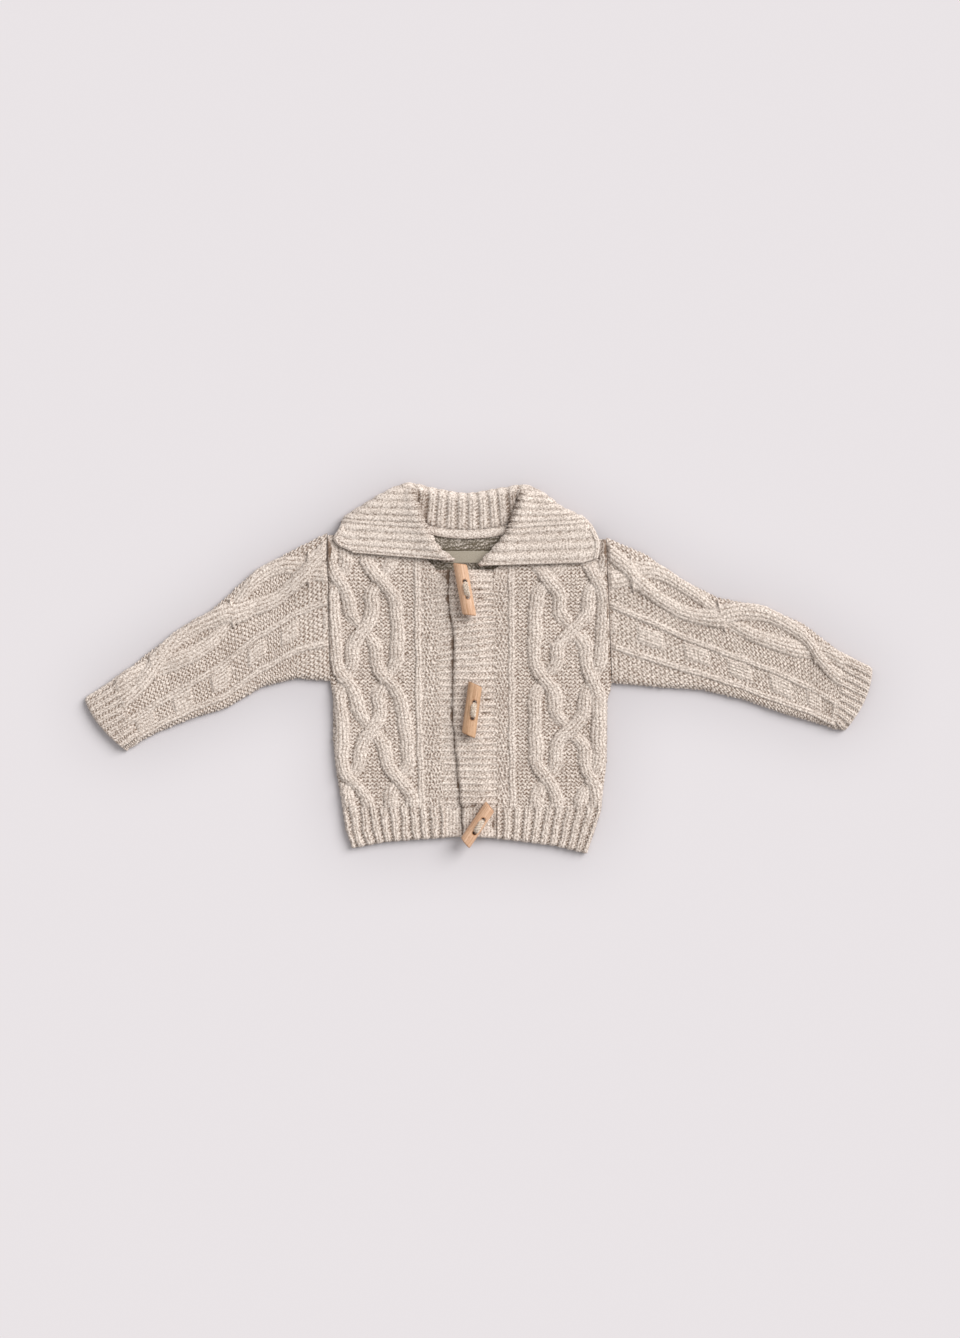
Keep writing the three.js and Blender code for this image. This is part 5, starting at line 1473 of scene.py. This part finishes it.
@dataclass
class Studio:
    """Pale floor with a painted shadow near the garment, one soft sun, an even sky and a camera
    straight above.
    """

    distance: float = 3.0  # metres from the cloth to the lens
    view_height: float = 1.2711  # metres of floor from top to bottom of the photograph
    sensor: float = 36.0
    aim: tuple[float, float, float] = (0.00125, -0.00041, 0.008)  # metres, middle of the picture
    floor_colour: str = "#DCD7D9"
    sun_from: tuple[float, float, float] = (0.8, 0.55, 0.9)
    sun: float = 2.8
    softness: float = 40.0  # degrees
    sky: float = 0.54
    painted_shadow_colour: str = "#C4BFC1"  # painted shadow: the floor's colour where the garment would cover it all round
    half: float = 15.0  # metres from the middle of the floor to its edge
    reach: float = 0.6  # the same, to the edge of the part near the garment
    cells: int = 120  # of the part near the garment, each way
    halo: int = 3  # cells by which the painted floor shadow spreads, twice

    def build(self) -> None:
        """Makes the camera, the light and the world."""
        lens = bpy.data.cameras.new("camera")
        lens.sensor_fit = "VERTICAL"
        lens.sensor_height = self.sensor
        lens.lens = self.sensor * self.distance / self.view_height
        camera = add_object("camera", lens)
        camera.location = (self.aim[0], self.aim[1], self.distance + self.aim[2])
        bpy.context.scene.camera = camera

        world = bpy.data.worlds.new("studio air")
        world.use_nodes = True
        air = world.node_tree.nodes["Background"]
        air.inputs["Color"].default_value = (1.0, 1.0, 1.0, 1.0)
        air.inputs["Strength"].default_value = self.sky
        bpy.context.scene.world = world
        light = bpy.data.lights.new("window", "SUN")
        light.angle, light.energy = math.radians(self.softness), self.sun
        lamp = add_object("window", light)
        lamp.rotation_euler = (-Vector(self.sun_from)).to_track_quat("-Z", "Y").to_euler()
        bpy.context.scene.view_settings.view_transform = "Standard"

    def painted_floor_shadow(self, edges: Array) -> Array:
        """Painted shadow for the floor: how much of the floor about each cell the pieces cover,
        blurred, from 0 to 1.
        """
        hits = np.zeros((self.cells, self.cells))
        for piece in bpy.context.scene.objects:
            if piece.type == "MESH":
                places = np.empty(len(piece.data.vertices) * 3, np.float32)
                piece.data.vertices.foreach_get("co", places)
                x, y, _ = places.reshape(-1, 3).T
                hits += np.histogram2d(y, x, bins=(edges, edges))[0]
        return blurred(blurred((hits > 0).astype(float), self.halo), self.halo)

    def lay_floor(self) -> None:
        """Lays the floor under the finished pieces, with a painted shadow that darkens it softly
        near them, as in the photo.
        """
        edges = np.linspace(-self.reach, self.reach, self.cells + 1)
        middles = (edges[1:] + edges[:-1]) / 2
        lines = np.concatenate([[-self.half], middles, [self.half]])
        x, y = np.meshgrid(lines, lines)
        points = np.stack([x, y, np.full_like(x, -0.0004)], -1).reshape(-1, 3)
        at = np.arange(len(points)).reshape(x.shape)
        quads = np.stack([at[:-1, :-1], at[:-1, 1:], at[1:, 1:], at[1:, :-1]], -1).reshape(-1, 4)
        data = new_mesh("floor", points, [quads])
        shade = data.attributes.new("painted_floor_shadow", "FLOAT", "POINT")
        shade.data.foreach_set("value", np.pad(self.painted_floor_shadow(edges), 1).ravel())
        floor = add_object("floor", data)

        material, tree, shader = blank("painted floor")
        grain = noise(tree, node(tree, "TexCoord").outputs["Object"], 300.0, 2.0)
        # Painted shadow: the floor's colour darkens near the pieces
        near = node(tree, "Attribute", attribute_name="painted_floor_shadow").outputs["Fac"]
        surface(tree, shader, blend(tree, near, self.floor_colour, self.painted_shadow_colour),
                {"Strength": 0.02, "Distance": 0.0002, "Height": grain},
                {"Roughness": 1.0, "Specular IOR Level": 0.0})
        dress(floor, material)


def seat(piece: bpy.types.Object, nodes: Sequence[str]) -> None:
    """Fixes a piece to the cardigan's one body, in place of its nodes."""
    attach(piece, "root")
    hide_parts(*nodes)
    faces = sum(len(p.vertices) - 2 for p in piece.data.polygons)
    log.info("%s stands for %s: %d triangles", piece.name, ", ".join(nodes), faces)


def main() -> None:
    """Builds the cardigan piece by piece and reports each one."""
    logging.basicConfig(level=logging.INFO, format="%(name)s: %(message)s")
    studio = Studio()
    studio.build()
    front_yarn = YarnFinish("marl yarn, front knit").build()
    rib_yarn = YarnFinish("marl yarn, rib").build()
    # The back's darker dark tone is painted shade: its inside shows only in the shade of the neck
    shaded_inside_yarn = YarnFinish("marl yarn, reverse knit", dark="#655B4C").build()
    sleeve_yarn = YarnFinish("marl yarn, sleeve knit").build()
    tie_yarn = YarnFinish("plied tie yarn", light="#EFE0D0", dark="#A58E78", painted_shade_strength=0.4).build()
    tape = TapeFinish("woven label tape", light="#BDB3A3", dark="#948A79").build()
    wood = WoodFinish().build()
    brown_wood = WoodFinish("sanded beech, browner", "#DDB693", "#936641").build()

    back = BackPanel().build(shaded_inside_yarn)
    seat(back, ["back"])
    for side in Side:
        front = FrontPanel(side).build(front_yarn)
        seat(front, [f"front_{side.value}"])
        band = Band(side).build(rib_yarn)
        seat(band, [f"band_{side.value}"])
        sleeve = Sleeve(side).build(sleeve_yarn)
        seat(sleeve, [f"sleeve_{side.value}"])
    collar = Collar().build(rib_yarn)
    seat(collar, ["collar"])
    label, binding = NeckTrim().build(tape, rib_yarn)
    seat(label, ["neck_label"])
    seat(binding, ["neck_binding"])

    toggles = (
        Toggle(1, (-19, 100.6, 21), (-10, 51.8, 19.7), 12.8, 1.6),
        Toggle(2, (-4.3, -13.3, 17.3), (-10.9, -62.2, 17.3), 13.4, 1.5),
        Toggle(3, (9.5, -129.2, 17.3), (-14.2, -164.3, 15.7), 12.4, 1.8),
    )
    for toggle in toggles:
        rod = toggle.drilled(toggle.rod(), brown_wood if toggle.number == 2 else wood)
        seat(rod, [f"toggle_{toggle.number}"])
        seat(toggle.tie(tie_yarn), [f"toggle_yarn_{toggle.number}"])

    studio.lay_floor()


if __name__ == "__main__":
    main()
